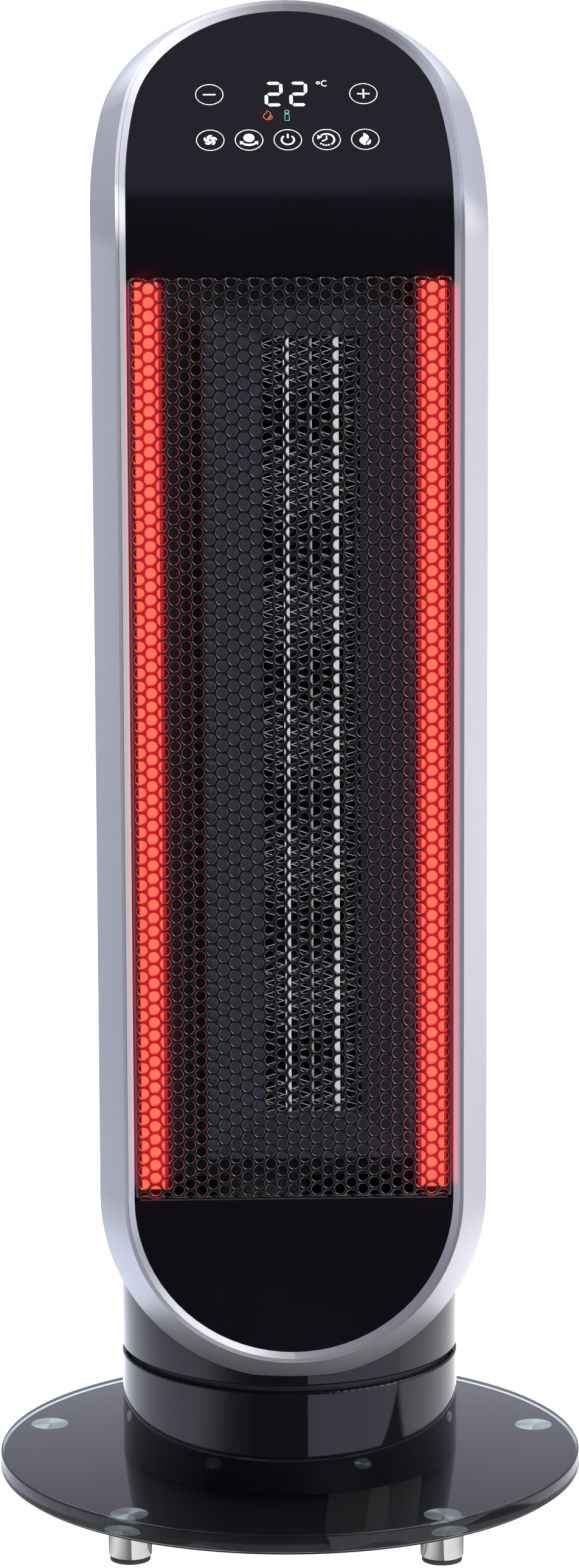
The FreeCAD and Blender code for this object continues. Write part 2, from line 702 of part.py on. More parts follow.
def rear_housing():
    body = housing_body(0.0, NECK_TOP_Z, FRAME_DEPTH)
    low_edges = [edge for edge in body.Edges if edge.BoundBox.ZMax < NECK_TOP_Z + HOUSING_FLOOR
                 and edge.BoundBox.YMax > FRAME_BACK_Y + HOUSING_FLOOR]
    body = body.makeFillet(HOUSING_LOW_ROUND, low_edges)
    shell = body.cut(housing_body(-HOUSING_WALL, NECK_TOP_Z + HOUSING_FLOOR, FRAME_DEPTH - SEAM))
    inner_half = OUTER_W - HOUSING_WALL
    lugs = []
    for z in LUG_Z:
        for side in (-1, 1):
            ends = sorted((side * (inner_half - LUG_SIZE), side * (inner_half + SEAM)))
            lugs.append(box(ends, (CHASSIS_BACK_Y, CHASSIS_BACK_Y + LUG_THICK),
                            (z - LUG_SIZE / 2, z + LUG_SIZE / 2)))
    shell = joined([shell] + lugs)
    shank = Part.makeCylinder(BOSS_SCREW_R + FIT, HOUSING_FLOOR)
    cutters = [placed(shank, place) for place in boss_places(NECK_TOP_Z)]
    cutters.append(cylinder(WIRE_HOLE_R, (NECK_TOP_Z, NECK_TOP_Z + HOUSING_FLOOR)))
    cutters.append(intake_window(0.0))
    return shell.cut(cutters + frame_screw_holes())


def intake_grille():
    cover = housing_skin(0.0, HOUSING_WALL).common(intake_window(EDGE_GAP))
    half = INTAKE_HALF_WIDTH - INTAKE_RIM
    field = (half * 2 - 2 * INTAKE_RIB) / 3
    slots = []
    z = INTAKE_Z[0] + INTAKE_RIM
    while z + INTAKE_SLOT < INTAKE_Z[1] - INTAKE_RIM:
        for column in range(3):
            x = -half + column * (field + INTAKE_RIB)
            slots.append(box((x, x + field), (0.0, REACH), (z, z + INTAKE_SLOT)))
        z += INTAKE_PITCH
    return cover.cut(Part.makeCompound(slots))


def dust_filter():
    sheet = housing_skin(HOUSING_WALL, HOUSING_WALL + FILTER_THICK)
    return sheet.common(intake_window(FILTER_MARGIN))


# Panels and grille in the frame's opening
def lower_panel():
    disc = Part.makeCylinder(FACE_W - SEAM, PANEL_THICK, V(0, FACE_Y, ARCH_Z), Y_AXIS)
    lower = box((-FACE_W, FACE_W), (FACE_Y, FACE_Y + PANEL_THICK), (0.0, ARCH_Z - EDGE_GAP))
    return disc.common(lower)


def control_panel():
    half = FACE_W - SEAM
    flat = box((-half, half), (FACE_Y, FACE_Y + PANEL_THICK), (CONTROL_Z, BEND_Z))
    edge = polygon_face([V(-half, FACE_Y, BEND_Z), V(half, FACE_Y, BEND_Z),
                         V(half, FACE_Y + PANEL_THICK, BEND_Z), V(-half, FACE_Y + PANEL_THICK, BEND_Z)])
    knee = edge.revolve(BEND_AXIS, X_AXIS, -TILT)
    head = head_outline(-SEAM, 0.0).extrude(OUTWARD * -PANEL_THICK)
    back = PANEL_THICK + BOARD_GAP
    posts = [head_cylinder(POST_R, side * POST_X, t, (PANEL_THICK, back)) for side in (-1, 1) for t in POST_T]
    pilots = [head_cylinder(POST_SCREW_R + FIT, side * POST_X, t, (back - POST_SCREW_LENGTH, back))
              for side in (-1, 1) for t in POST_T]
    return joined([flat, knee, head] + posts).cut(pilots)


def grille():
    left = -FACE_W + SEAM
    low = ARCH_Z
    high = CONTROL_Z - EDGE_GAP
    outline = [V(left, FACE_Y, low), V(-left, FACE_Y, low), V(-left, FACE_Y, high), V(left, FACE_Y, high)]
    wires = [Part.makePolygon(outline + outline[:1])]
    margin = GRILLE_RIM + GRILLE_HOLE_R + GRILLE_EDGE
    step = GRILLE_PITCH * math.sqrt(3.0) / 2
    columns = int((-left - margin) / step)
    rows = int((high - low) / 2 / GRILLE_PITCH) + 1
    for column in range(-columns, columns + 1):
        shift = GRILLE_PITCH / 2 if column % 2 else 0.0
        for row in range(-rows, rows + 1):
            z = (low + high) / 2 + row * GRILLE_PITCH + shift
            if low + margin <= z <= high - margin:
                centre = V(column * step, FACE_Y, z)
                wires.append(Part.Wire(Part.makeCircle(GRILLE_HOLE_R, centre, Y_AXIS)))
    sheet = Part.Face(wires).extrude(Y_AXIS * GRILLE_SHEET)
    depth = (FACE_Y + GRILLE_SHEET, FACE_Y + PANEL_THICK)
    rim = box((left, -left), depth, (low, high)).cut(
        box((left + GRILLE_RIM, -left - GRILLE_RIM), depth, (low + GRILLE_RIM, high - GRILLE_RIM)))
    return joined([sheet, rim])


# Display and touch keys behind the control panel
def display_module():
    return head_box((-DISPLAY_HALF, DISPLAY_HALF), DISPLAY_T, (PANEL_THICK, PANEL_THICK + BOARD_GAP))


def touch_pads():
    places = [(i * KEY_PITCH, KEY_ROW_LOW) for i in range(-2, 3)]
    places += [(side * 2 * KEY_PITCH, KEY_ROW_HIGH) for side in (-1, 1)]
    return Part.makeCompound([head_cylinder(TOUCH_PAD_R, x, t, (PANEL_THICK, PANEL_THICK + BOARD_GAP))
                              for x, t in places])


def display_board():
    front = PANEL_THICK + BOARD_GAP
    back = front + BOARD_THICK
    board = head_box((-DISPLAY_BOARD_HALF, DISPLAY_BOARD_HALF), DISPLAY_BOARD_T, (front, back))
    return board.cut([head_cylinder(POST_SCREW_R + FIT, side * POST_X, t, (front, back))
                      for side in (-1, 1) for t in POST_T])


def display_screws():
    back = PANEL_THICK + BOARD_GAP + BOARD_THICK
    one = screw(POST_SCREW_R, POST_SCREW_LENGTH + BOARD_THICK, FRAME_SCREW_HEAD)
    return Part.makeCompound([placed(one, on_head(side * POST_X, t, back), OUTWARD)
                              for side in (-1, 1) for t in POST_T])


# Chassis plate, outlet duct and thermal cut-out
def chassis():
    half = OUTER_W - HOUSING_WALL - CHASSIS_GAP
    depth = (FRAME_BACK_Y, CHASSIS_BACK_Y)
    plate = box((-half, half), depth, CHASSIS_Z)
    opening = box((HEATER_LEFT, HEATER_RIGHT), depth, HEATER_Z)
    return plate.cut([opening] + frame_screw_holes())


def duct_block(margin):
    front = FACE_Y + DUCT_FRONT_V
    x0, x1 = DUCT_FRONT_X
    z0, z1 = DUCT_FRONT_Z
    mouth = [V(x0 - margin, front, z0 - margin), V(x1 + margin, front, z0 - margin),
             V(x1 + margin, front, z1 + margin), V(x0 - margin, front, z1 + margin)]
    x0, x1 = HEATER_LEFT, HEATER_RIGHT
    z0, z1 = HEATER_Z
    throat = [V(x0 - margin, FRAME_BACK_Y, z0 - margin), V(x1 + margin, FRAME_BACK_Y, z0 - margin),
              V(x1 + margin, FRAME_BACK_Y, z1 + margin), V(x0 - margin, FRAME_BACK_Y, z1 + margin)]
    wires = [Part.makePolygon(corners + corners[:1]) for corners in (mouth, throat)]
    return Part.makeLoft(wires, True, True)


def outlet_duct():
    return duct_block(0.0).cut(duct_block(-DUCT_WALL))


def thermal_cutout():
    # Behind the slanting left wall of the duct, on the chassis
    width, depth, height = CUTOUT_SIZE
    slant = (HEATER_LEFT - DUCT_FRONT_X[0]) / (FRAME_DEPTH - DUCT_FRONT_V)
    right = HEATER_LEFT - depth * slant - SEAM
    return box((right - width, right), (FRAME_BACK_Y - depth, FRAME_BACK_Y), (CUTOUT_Z, CUTOUT_Z + height))


# Side lights: channel, lamp strip and light guide, stacked on the chassis
def light_bars(front_v, back_v):
    pieces = []
    for x in (LIGHT_X, (-LIGHT_X[1], -LIGHT_X[0])):
        pieces.append(box(x, (FACE_Y + front_v, FACE_Y + back_v), LIGHT_Z))
    return Part.makeCompound(pieces)


# Ceramic heater: heater bars with folded fins on both sides
def ptc_depth():
    return HEATER_FRONT_Y, HEATER_FRONT_Y + HEATER_DEPTH


def ptc_bars():
    pieces = []
    for side in (-1, 1):
        middle = HEATER_X + side * BAR_OFFSET
        pieces.append(box((middle - BAR_WIDTH / 2, middle + BAR_WIDTH / 2), ptc_depth(), HEATER_Z))
    return Part.makeCompound(pieces)


def ptc_plates():
    places = (HEATER_LEFT + SIDE_PLATE / 2, HEATER_X, HEATER_RIGHT - SIDE_PLATE / 2)
    return Part.makeCompound([box((x - SIDE_PLATE / 2, x + SIDE_PLATE / 2), ptc_depth(), HEATER_Z)
                              for x in places])


def folded_fin(x0, x1):
    # Zig-zag strip between two plates, folded along the height
    y0, y1 = ptc_depth()
    height = HEATER_Z[1] - HEATER_Z[0]
    count = 2 * int(height / FIN_PITCH)
    step = height / count
    wide = FIN_SHEET * math.hypot(x1 - x0, step) / step
    left = []
    right = []
    for i in range(count + 1):
        x = x1 - wide if i % 2 else x0
        z = HEATER_Z[0] + i * step
        left.append(V(x, y0 + FIN_SETBACK, z))
        right.append(V(x + wide, y0 + FIN_SETBACK, z))
    return polygon_face(left + right[::-1]).extrude(Y_AXIS * (y1 - y0 - 2 * FIN_SETBACK))


def ptc_fins():
    inner = SIDE_PLATE / 2
    near = BAR_OFFSET - BAR_WIDTH / 2
    far = BAR_OFFSET + BAR_WIDTH / 2
    edge = HEATER_WIDTH / 2 - SIDE_PLATE
    spans = [(-edge, -far), (-near, -inner), (inner, near), (far, edge)]
    return Part.makeCompound([folded_fin(HEATER_X + x0, HEATER_X + x1) for x0, x1 in spans])


def ptc_holders():
    x = (HEATER_LEFT, HEATER_RIGHT)
    y = (CHASSIS_BACK_Y, HEATER_FRONT_Y + HEATER_DEPTH)
    return Part.makeCompound([box(x, y, (HEATER_Z[0] - HOLDER_HEIGHT, HEATER_Z[0])),
                              box(x, y, (HEATER_Z[1], HEATER_Z[1] + HOLDER_HEIGHT))])


# Crossflow fan with its scroll
def fan_endplates():
    depth = (CHASSIS_BACK_Y, ENDPLATE_BACK)
    low = box(ENDPLATE_X, depth, (FAN_Z[0] - ENDPLATE_THICK, FAN_Z[0]))
    high = box(ENDPLATE_X, depth, (FAN_Z[1], FAN_Z[1] + ENDPLATE_THICK))
    low = low.cut(cylinder(SHAFT_R + SEAM, (0.0, REACH), FAN_X, FAN_Y))
    high = high.cut(cylinder(SHAFT_HUB_R + FIT, (0.0, REACH), FAN_X, FAN_Y))
    return Part.makeCompound([low, high])


def fan_scroll():
    inner = []
    outer = []
    tail = HEATER_RIGHT + EDGE_GAP
    for i in range(SCROLL_STEPS + 1):
        share = i / SCROLL_STEPS
        radius = FAN_R + FAN_GAP + SCROLL_GROWTH * share
        angle = SCROLL_START * (1.0 - share)
        inner.append(polar(radius, angle, FAN_Z[0], FAN_X, FAN_Y))
        outer.append(polar(radius + SCROLL_WALL, angle, FAN_Z[0], FAN_X, FAN_Y))
    bend_y = HEATER_FRONT_Y + 2 * HEATER_DEPTH
    for y in (bend_y, CHASSIS_BACK_Y):
        inner.append(V(tail, y, FAN_Z[0]))
        outer.append(V(tail + SCROLL_WALL, y, FAN_Z[0]))
    return polygon_face(inner + outer[::-1]).extrude(Z_AXIS * (FAN_Z[1] - FAN_Z[0]))


def fan_tongue():
    x = HEATER_LEFT - EDGE_GAP
    y = CHASSIS_BACK_Y + TONGUE_SETBACK
    tip = polar(FAN_R + FAN_GAP, TONGUE_ANGLE, FAN_Z[0], FAN_X, FAN_Y)
    tip_back = polar(FAN_R + FAN_GAP + SCROLL_WALL, TONGUE_ANGLE, FAN_Z[0], FAN_X, FAN_Y)
    points = [V(x, CHASSIS_BACK_Y, FAN_Z[0]), V(x, y, FAN_Z[0]), tip, tip_back,
              V(x - SCROLL_WALL, y - SCROLL_WALL, FAN_Z[0]), V(x - SCROLL_WALL, CHASSIS_BACK_Y, FAN_Z[0])]
    return polygon_face(points).extrude(Z_AXIS * (FAN_Z[1] - FAN_Z[0]))


def fan_motor():
    top = FAN_Z[0] - ENDPLATE_THICK
    body = cylinder(FAN_MOTOR_R, (top - FAN_MOTOR_HEIGHT, top), FAN_X, FAN_Y)
    return body.cut(cylinder(SHAFT_R + RUN, (top - MOTOR_SHAFT_DEPTH - SEAM, top), FAN_X, FAN_Y))


def fan_bearing():
    return tube(SHAFT_HUB_R, SHAFT_R + RUN, (FAN_Z[1], FAN_Z[1] + BEARING_HEIGHT), FAN_X, FAN_Y)


def fan_shaft():
    low = FAN_Z[0] - ENDPLATE_THICK - MOTOR_SHAFT_DEPTH
    return cylinder(SHAFT_R, (low, FAN_Z[1] + BEARING_HEIGHT), FAN_X, FAN_Y)


def impeller():
    low = FAN_Z[0] + FAN_END_GAP
    high = FAN_Z[1] - FAN_END_GAP
    step = (high - low - FAN_DISC) / (FAN_DISC_COUNT - 1)
    discs = []
    for i in range(FAN_DISC_COUNT):
        z = (low + i * step, low + i * step + FAN_DISC)
        at_end = i in (0, FAN_DISC_COUNT - 1)
        discs.append(tube(FAN_R, SHAFT_R + FIT if at_end else BLADE_INNER_R, z))
    blades = []
    half = math.degrees(BLADE_THICK / 2 / FAN_R)
    middle_r = (FAN_R + BLADE_INNER_R) / 2
    for i in range(BLADE_COUNT):
        start = i * 360.0 / BLADE_COUNT
        path = [(BLADE_INNER_R, start), (middle_r, start + BLADE_SWEEP * 0.35),
                (FAN_R - BLADE_THICK / 2, start + BLADE_SWEEP)]
        points = [polar(r, a - half, low) for r, a in path] + [polar(r, a + half, low) for r, a in path[::-1]]
        blades.append(polygon_face(points).extrude(Z_AXIS * (high - low)))
    return placed(joined(discs + blades), V(FAN_X, FAN_Y, 0))


# Control board with relays and tip-over switch
def power_board():
    return box((POWER_BOARD_X, POWER_BOARD_X + BOARD_THICK),
               (CHASSIS_BACK_Y, CHASSIS_BACK_Y + POWER_BOARD_DEPTH), POWER_BOARD_Z)


def on_board(size, z):
    width, depth, height = size
    middle = CHASSIS_BACK_Y + POWER_BOARD_DEPTH / 2
    return box((POWER_BOARD_X - width, POWER_BOARD_X), (middle - depth / 2, middle + depth / 2), (z, z + height))


def relays():
    return Part.makeCompound([on_board(RELAY_SIZE, POWER_BOARD_Z[0] + (i + 1.5) * RELAY_PITCH)
                              for i in range(RELAY_COUNT)])


def tilt_switch():
    return on_board(TILT_SWITCH_SIZE, POWER_BOARD_Z[0] + LUG_SIZE)


os.makedirs("parts", exist_ok=True)

strip_back = GUIDE_V + GUIDE_DEPTH + STRIP_DEPTH
export("light_guides", light_bars(GUIDE_V, GUIDE_V + GUIDE_DEPTH))
export("led_strips", light_bars(GUIDE_V + GUIDE_DEPTH, strip_back))
export("light_channels", light_bars(strip_back, FRAME_DEPTH))

for build in (foot_pads, feet, foot_discs, plate_backing, glass_plate, clamp_plate, base_screws, base_floor,
              ring_screws, base_ring, cord_gland, terminal_block, turntable_ring, pivot_tube, retaining_ring,
              oscillation_gear, oscillation_pinion, oscillation_motor, neck, pivot_bushing, neck_screws,
              front_frame, frame_screws, rear_housing, intake_grille, dust_filter, lower_panel,
              control_panel, grille, display_module, touch_pads, display_board, display_screws, chassis,
              outlet_duct, thermal_cutout, ptc_bars, ptc_plates, ptc_fins, ptc_holders, fan_endplates,
              fan_scroll, fan_tongue, fan_motor, fan_bearing, fan_shaft, impeller, power_board, relays,
              tilt_switch):
    export(build.__name__, build())
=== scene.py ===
import math

import bpy
from mathutils import Matrix, Vector


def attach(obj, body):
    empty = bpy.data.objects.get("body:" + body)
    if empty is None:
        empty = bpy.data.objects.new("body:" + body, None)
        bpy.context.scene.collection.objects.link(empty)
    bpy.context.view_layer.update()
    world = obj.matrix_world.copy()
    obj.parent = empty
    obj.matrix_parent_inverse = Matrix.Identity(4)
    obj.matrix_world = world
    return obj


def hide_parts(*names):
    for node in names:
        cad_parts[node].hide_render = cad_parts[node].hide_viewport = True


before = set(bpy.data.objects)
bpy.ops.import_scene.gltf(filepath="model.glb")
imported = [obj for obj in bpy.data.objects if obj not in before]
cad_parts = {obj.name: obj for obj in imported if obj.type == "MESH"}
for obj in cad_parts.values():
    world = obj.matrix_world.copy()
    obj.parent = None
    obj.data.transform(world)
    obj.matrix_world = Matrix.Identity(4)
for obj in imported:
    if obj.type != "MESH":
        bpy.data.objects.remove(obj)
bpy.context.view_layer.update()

bpy.ops.object.select_all(action="DESELECT")


# Foot pads: black rubber discs under the five feet, each with a plug that is
# pressed into its foot from below. Moulded rubber is dull and slightly uneven.
def new_finish(name, metallic=0.0, **constants):
    material = bpy.data.materials.new(name)
    material.use_nodes = True
    shader = material.node_tree.nodes["Principled BSDF"]
    shader.inputs["Metallic"].default_value = metallic
    for socket, value in constants.items():
        shader.inputs[socket.replace("_", " ")].default_value = value
    return material, shader


def add_node(material, kind, **values):
    node = material.node_tree.nodes.new(kind)
    for key, value in values.items():
        if key in node.inputs:
            node.inputs[key].default_value = value
        else:
            setattr(node, key, value)
    return node


def join_sockets(material, source, target):
    material.node_tree.links.new(source, target)


def own_place(material, stretch=(1.0, 1.0, 1.0), turn=(0.0, 0.0, 0.0), shift=(0.0, 0.0, 0.0)):
    # The piece's own coordinates in metres, stretched and turned for a grain
    place = add_node(material, "ShaderNodeTexCoord")
    mapping = add_node(material, "ShaderNodeMapping", Scale=stretch, Rotation=turn, Location=shift)
    join_sockets(material, place.outputs["Object"], mapping.inputs["Vector"])
    return mapping.outputs["Vector"]


def noise_of(material, scale, stretch=(1.0, 1.0, 1.0), detail=4.0):
    noise = add_node(material, "ShaderNodeTexNoise", Scale=scale, Detail=detail)
    join_sockets(material, own_place(material, stretch), noise.inputs["Vector"])
    return noise.outputs["Fac"]


def parts_of(material, vector):
    parts = add_node(material, "ShaderNodeSeparateXYZ")
    join_sockets(material, vector, parts.inputs["Vector"])
    return parts.outputs


def figured(material, operation, *entries):
    # One sum on sockets and plain numbers
    step = add_node(material, "ShaderNodeMath", operation=operation)
    for socket, entry in zip(step.inputs, entries):
        if isinstance(entry, bpy.types.NodeSocket):
            join_sockets(material, entry, socket)
        else:
            socket.default_value = entry
    return step.outputs["Value"]


def mapped(material, value, start, end=(0.0, 1.0)):
    # The value moved from the first range to the second, and held inside it
    spread = add_node(material, "ShaderNodeMapRange")
    for socket, number in zip(("From Min", "From Max", "To Min", "To Max"), (*start, *end)):
        spread.inputs[socket].default_value = number
    join_sockets(material, value, spread.inputs["Value"])
    return spread.outputs["Result"]


def ramped(material, amount, stops):
    # A colour for each amount, blended between the stops
    ramp = add_node(material, "ShaderNodeValToRGB")
    elements = ramp.color_ramp.elements
    while len(elements) < len(stops):
        elements.new(0.5)
    for element, (place, color) in zip(elements, stops):
        element.position = place
        element.color = (*color, 1.0)
    join_sockets(material, amount, ramp.inputs["Fac"])
    return ramp.outputs["Color"]


def tint(material, shader, amount, dark, light, low=0.35, high=0.65):
    color = ramped(material, amount, [(low, dark), (high, light)])
    join_sockets(material, color, shader.inputs["Base Color"])


def vary_gloss(material, shader, amount, rough):
    join_sockets(material, mapped(material, amount, (0.3, 0.7), rough), shader.inputs["Roughness"])


def raise_grain(material, shader, amount, depth):
    bump = add_node(material, "ShaderNodeBump", Distance=depth, Strength=1.0)
    join_sockets(material, amount, bump.inputs["Height"])
    join_sockets(material, bump.outputs["Normal"], shader.inputs["Normal"])


def grained(name, dark, light, rough, grain, depth, metallic=0.0, stretch=(1.0, 1.0, 1.0)):
    # A finish whose colour, gloss and height follow one fine grain
    material, shader = new_finish(name, metallic)
    amount = noise_of(material, grain, stretch)
    tint(material, shader, amount, dark, light)
    vary_gloss(material, shader, amount, rough)
    raise_grain(material, shader, amount, depth)
    return material


def dress(material, *nodes):
    for name in nodes:
        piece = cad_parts[name]
        if not piece.material_slots:
            piece.data.materials.append(material)
        for slot in piece.material_slots:
            slot.material = material


black_rubber = grained("black_rubber", (0.010, 0.010, 0.011), (0.026, 0.026, 0.027), (0.55, 0.8),
                       1500.0, 0.00006)
dress(black_rubber, "foot_pads")


# Feet: five short turned tubes, chromed, screwed up against the glass plate.
# The lathe leaves faint rings, and the lower edge is broken with a small round.
foot_r = 0.009
foot_low = 0.002
foot_high = 0.013
foot_edge = 0.0008
foot_circle_r = 0.111
foot_angles = [math.radians(90.0 - 2.7 + 72.0 * i) for i in range(5)]
foot_places = [(foot_circle_r * math.cos(a), foot_circle_r * math.sin(a), 0.0) for a in foot_angles]


def only(*pieces):
    bpy.ops.object.select_all(action="DESELECT")
    for piece in pieces:
        piece.select_set(True)
    bpy.context.view_layer.objects.active = pieces[-1]


def settle(piece, name=None):
    # Puts the piece's place into its mesh
    only(piece)
    bpy.ops.object.transform_apply(location=True, rotation=True, scale=True)
    if name:
        piece.name = name
        piece.data.name = name
    return piece


def added(name):
    return settle(bpy.context.object, name)


def pick(piece, kind, test):
    # Enters edit mode with the edges or faces selected whose corners all pass the test
    only(piece)
    bpy.ops.object.mode_set(mode="EDIT")
    bpy.ops.mesh.select_mode(type=kind)
    bpy.ops.mesh.select_all(action="DESELECT")
    bpy.ops.object.mode_set(mode="OBJECT")
    mesh = piece.data
    for part in mesh.edges if kind == "EDGE" else mesh.polygons:
        part.select = all(test(mesh.vertices[i].co) for i in part.vertices)
    bpy.ops.object.mode_set(mode="EDIT")


def done():
    bpy.ops.object.mode_set(mode="OBJECT")


def smooth(piece, degrees=35.0):
    only(piece)
    bpy.ops.object.shade_smooth_by_angle(angle=math.radians(degrees))


def joined(pieces, name):
    only(*pieces)
    if len(pieces) > 1:
        bpy.ops.object.join()
    return settle(bpy.context.object, name)


def copied_to(piece, places, name):
    # One copy with its own mesh at each place, and all of them joined
    copies = []
    for place in places:
        only(piece)
        bpy.ops.object.duplicate(linked=False)
        bpy.context.object.location = place
        copies.append(settle(bpy.context.object))
    bpy.data.objects.remove(piece)
    return joined(copies, name)


def wear(piece, material, body, slot, *nodes):
    # Gives the piece its finish and body, and hides the CAD nodes that it stands for; the slot is not used
    piece.data.materials.clear()
    piece.data.materials.append(material)
    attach(piece, body)
    if nodes:
        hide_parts(*nodes)


chrome, shader = new_finish("chrome", 1.0)
rings = noise_of(chrome, 2500.0, (0.01, 0.01, 1.0))
tint(chrome, shader, rings, (0.86, 0.87, 0.88), (0.91, 0.92, 0.93))
vary_gloss(chrome, shader, noise_of(chrome, 180.0), (0.02, 0.07))
raise_grain(chrome, shader, rings, 0.0000004)

bpy.ops.mesh.primitive_cylinder_add(vertices=64, radius=foot_r, depth=foot_high - foot_low,
                                    location=(0.0, 0.0, (foot_high + foot_low) / 2))
foot = added("foot")
pick(foot, "EDGE", lambda co: co.z < foot_low + foot_edge)
bpy.ops.mesh.bevel(offset=foot_edge, segments=4, affect="EDGES")
done()
smooth(foot)
feet = copied_to(foot, foot_places, "turned_feet")
wear(feet, chrome, "base", "chrome", "feet")


# Foot discs: thin metal discs set in the dark sheet over each foot and seen through the glass.
# Their faces are turned, which spreads the light along the tool marks, and bright and dim fans across the
# marks are painted into their colour as painted highlight.
disc_r = 0.008
disc_low = 0.013
disc_high = 0.01399
disc_rings = 6

turned_metal, shader = new_finish("turned_metal", 0.75, Roughness=0.30, Anisotropic=0.9)
# Painted highlight: bright and dim fans in the colour, by the angle round each disc
painted_fan_stops = [(0.0, 0.84), (0.10, 0.94), (0.22, 1.0), (0.235, 0.46), (0.33, 0.58), (0.45, 0.80), (0.60, 0.90),
             (0.72, 1.0), (0.76, 0.82), (0.86, 0.74), (1.0, 0.84)]
turn_map = add_node(turned_metal, "ShaderNodeUVMap", uv_map="turning")
disc_turn = parts_of(turned_metal, turn_map.outputs["UV"])["Y"]
whole_turn = figured(turned_metal, "FRACT", figured(turned_metal, "ADD", disc_turn, 1.5))
painted_fans = ramped(turned_metal, whole_turn,
              [(turn, (0.93 * grey, 0.99 * grey, grey)) for turn, grey in painted_fan_stops])
join_sockets(turned_metal, painted_fans, shader.inputs["Base Color"])
along = add_node(turned_metal, "ShaderNodeTangent", direction_type="UV_MAP", uv_map="turning")
join_sockets(turned_metal, along.outputs["Tangent"], shader.inputs["Tangent"])

bpy.ops.mesh.primitive_cylinder_add(vertices=48, radius=disc_r, depth=disc_high - disc_low, calc_uvs=False,
                                    location=(0.0, 0.0, (disc_high + disc_low) / 2))
disc = added("disc")
pick(disc, "FACE", lambda co: co.z > disc_high - 0.00001)
for inset in range(disc_rings):
    bpy.ops.mesh.inset(thickness=disc_r / (disc_rings + 1))
bpy.ops.mesh.poke()
done()
turning = disc.data.uv_layers.new(name="turning")
for face in disc.data.polygons:
    middle = math.atan2(face.center.y, face.center.x)
    for loop in face.loop_indices:
        co = disc.data.vertices[disc.data.loops[loop].vertex_index].co
        radius = math.hypot(co.x, co.y)
        turn = math.atan2(co.y, co.x) - middle if radius > 0.00001 else 0.0
        turn = (turn + math.pi) % (2.0 * math.pi) - math.pi
        turning.data[loop].uv = (radius / disc_r, (middle + turn) / (2.0 * math.pi))
smooth(disc)
discs = copied_to(disc, foot_places, "turned_discs")
wear(discs, turned_metal, "base", "turned_metal", "foot_discs")


# Dark sheet: a black film and plate under the glass, which makes the clear plate look black.
# It is matt, and is held by the clamp plate and the feet.
dark_sheet = grained("dark_sheet", (0.004, 0.004, 0.005), (0.009, 0.009, 0.011), (0.35, 0.5), 700.0, 0.00001)
dress(dark_sheet, "plate_backing")


# Glass plate: a round 8 mm float glass disc with a hole in the middle for the clamp.
# Its edge is ground and polished round, and the dark sheet is bonded to its underside.
plate_r = 0.125
plate_low = 0.01395
plate_high = 0.022
plate_hole_r = 0.030
plate_edge = 0.0010
plate_near = 0.0001

clear_glass, shader = new_finish("clear_glass", Transmission_Weight=1.0, IOR=1.5)
smears = noise_of(clear_glass, 14.0)
tint(clear_glass, shader, smears, (0.80, 0.92, 0.90), (0.86, 0.95, 0.93))
vary_gloss(clear_glass, shader, smears, (0.0, 0.008))

bpy.ops.mesh.primitive_cylinder_add(vertices=192, radius=plate_r, depth=plate_high - plate_low,
                                    location=(0.0, 0.0, (plate_high + plate_low) / 2))
plate = added("glass_disc")
for level in (plate_high, plate_low):
    pick(plate, "FACE", lambda co: abs(co.z - level) < plate_near)
    bpy.ops.mesh.inset(thickness=plate_r - plate_hole_r)
    done()
pick(plate, "FACE", lambda co: math.hypot(co.x, co.y) < plate_hole_r + 0.001)
bpy.ops.mesh.bridge_edge_loops()
done()
for level in (plate_high, plate_low):
    pick(plate, "EDGE",
         lambda co: math.hypot(co.x, co.y) > plate_r - plate_near and abs(co.z - level) < plate_near)
    bpy.ops.mesh.bevel(offset=plate_edge, segments=4, affect="EDGES")
    done()
only(plate)
bpy.ops.object.mode_set(mode="EDIT")
bpy.ops.mesh.select_all(action="SELECT")
bpy.ops.mesh.normals_make_consistent(inside=False)
done()
smooth(plate)
wear(plate, clear_glass, "base", "clear_glass", "glass_plate")


# Clamp plate, screws and ballast floor: the steel plate under the glass is screwed through the
# hole to the cast floor in the base ring, and they grip the glass between them.
bright_steel = grained("bright_steel", (0.40, 0.41, 0.43), (0.60, 0.61, 0.63), (0.22, 0.4),
                       900.0, 0.000006, 1.0)
cast_ballast = grained("cast_ballast", (0.045, 0.045, 0.048), (0.085, 0.085, 0.09), (0.5, 0.75),
                       420.0, 0.00018)
dress(bright_steel, "clamp_plate", "base_screws", "ring_screws")
dress(cast_ballast, "base_floor")


# Base ring and neck: round shells moulded in piano black, one fixed and one turning with the tower.
# The polished plastic has a faint ripple, and mirrors the floor and the glass.
def piano_black(name, color, rough, ripple):
    material, shader = new_finish(name, IOR=1.52)
    cloud = noise_of(material, 16.0)
    tint(material, shader, cloud, color, tuple(1.35 * c for c in color))
    vary_gloss(material, shader, noise_of(material, 60.0), rough)
    raise_grain(material, shader, noise_of(material, 120.0, detail=1.0), ripple)
    return material


shell_black = piano_black("shell_black", (0.0016, 0.0015, 0.0022), (0.03, 0.07), 0.0000015)
dress(shell_black, "base_ring", "neck")


# Cord gland and terminal block: the rubber sleeve at the back of the base ring keeps the cord
# from its edge, and the block inside takes the cord's wires.
white_nylon = grained("white_nylon", (0.66, 0.66, 0.63), (0.80, 0.80, 0.77), (0.35, 0.5), 600.0, 0.00001)
dress(black_rubber, "cord_gland")
dress(white_nylon, "terminal_block")


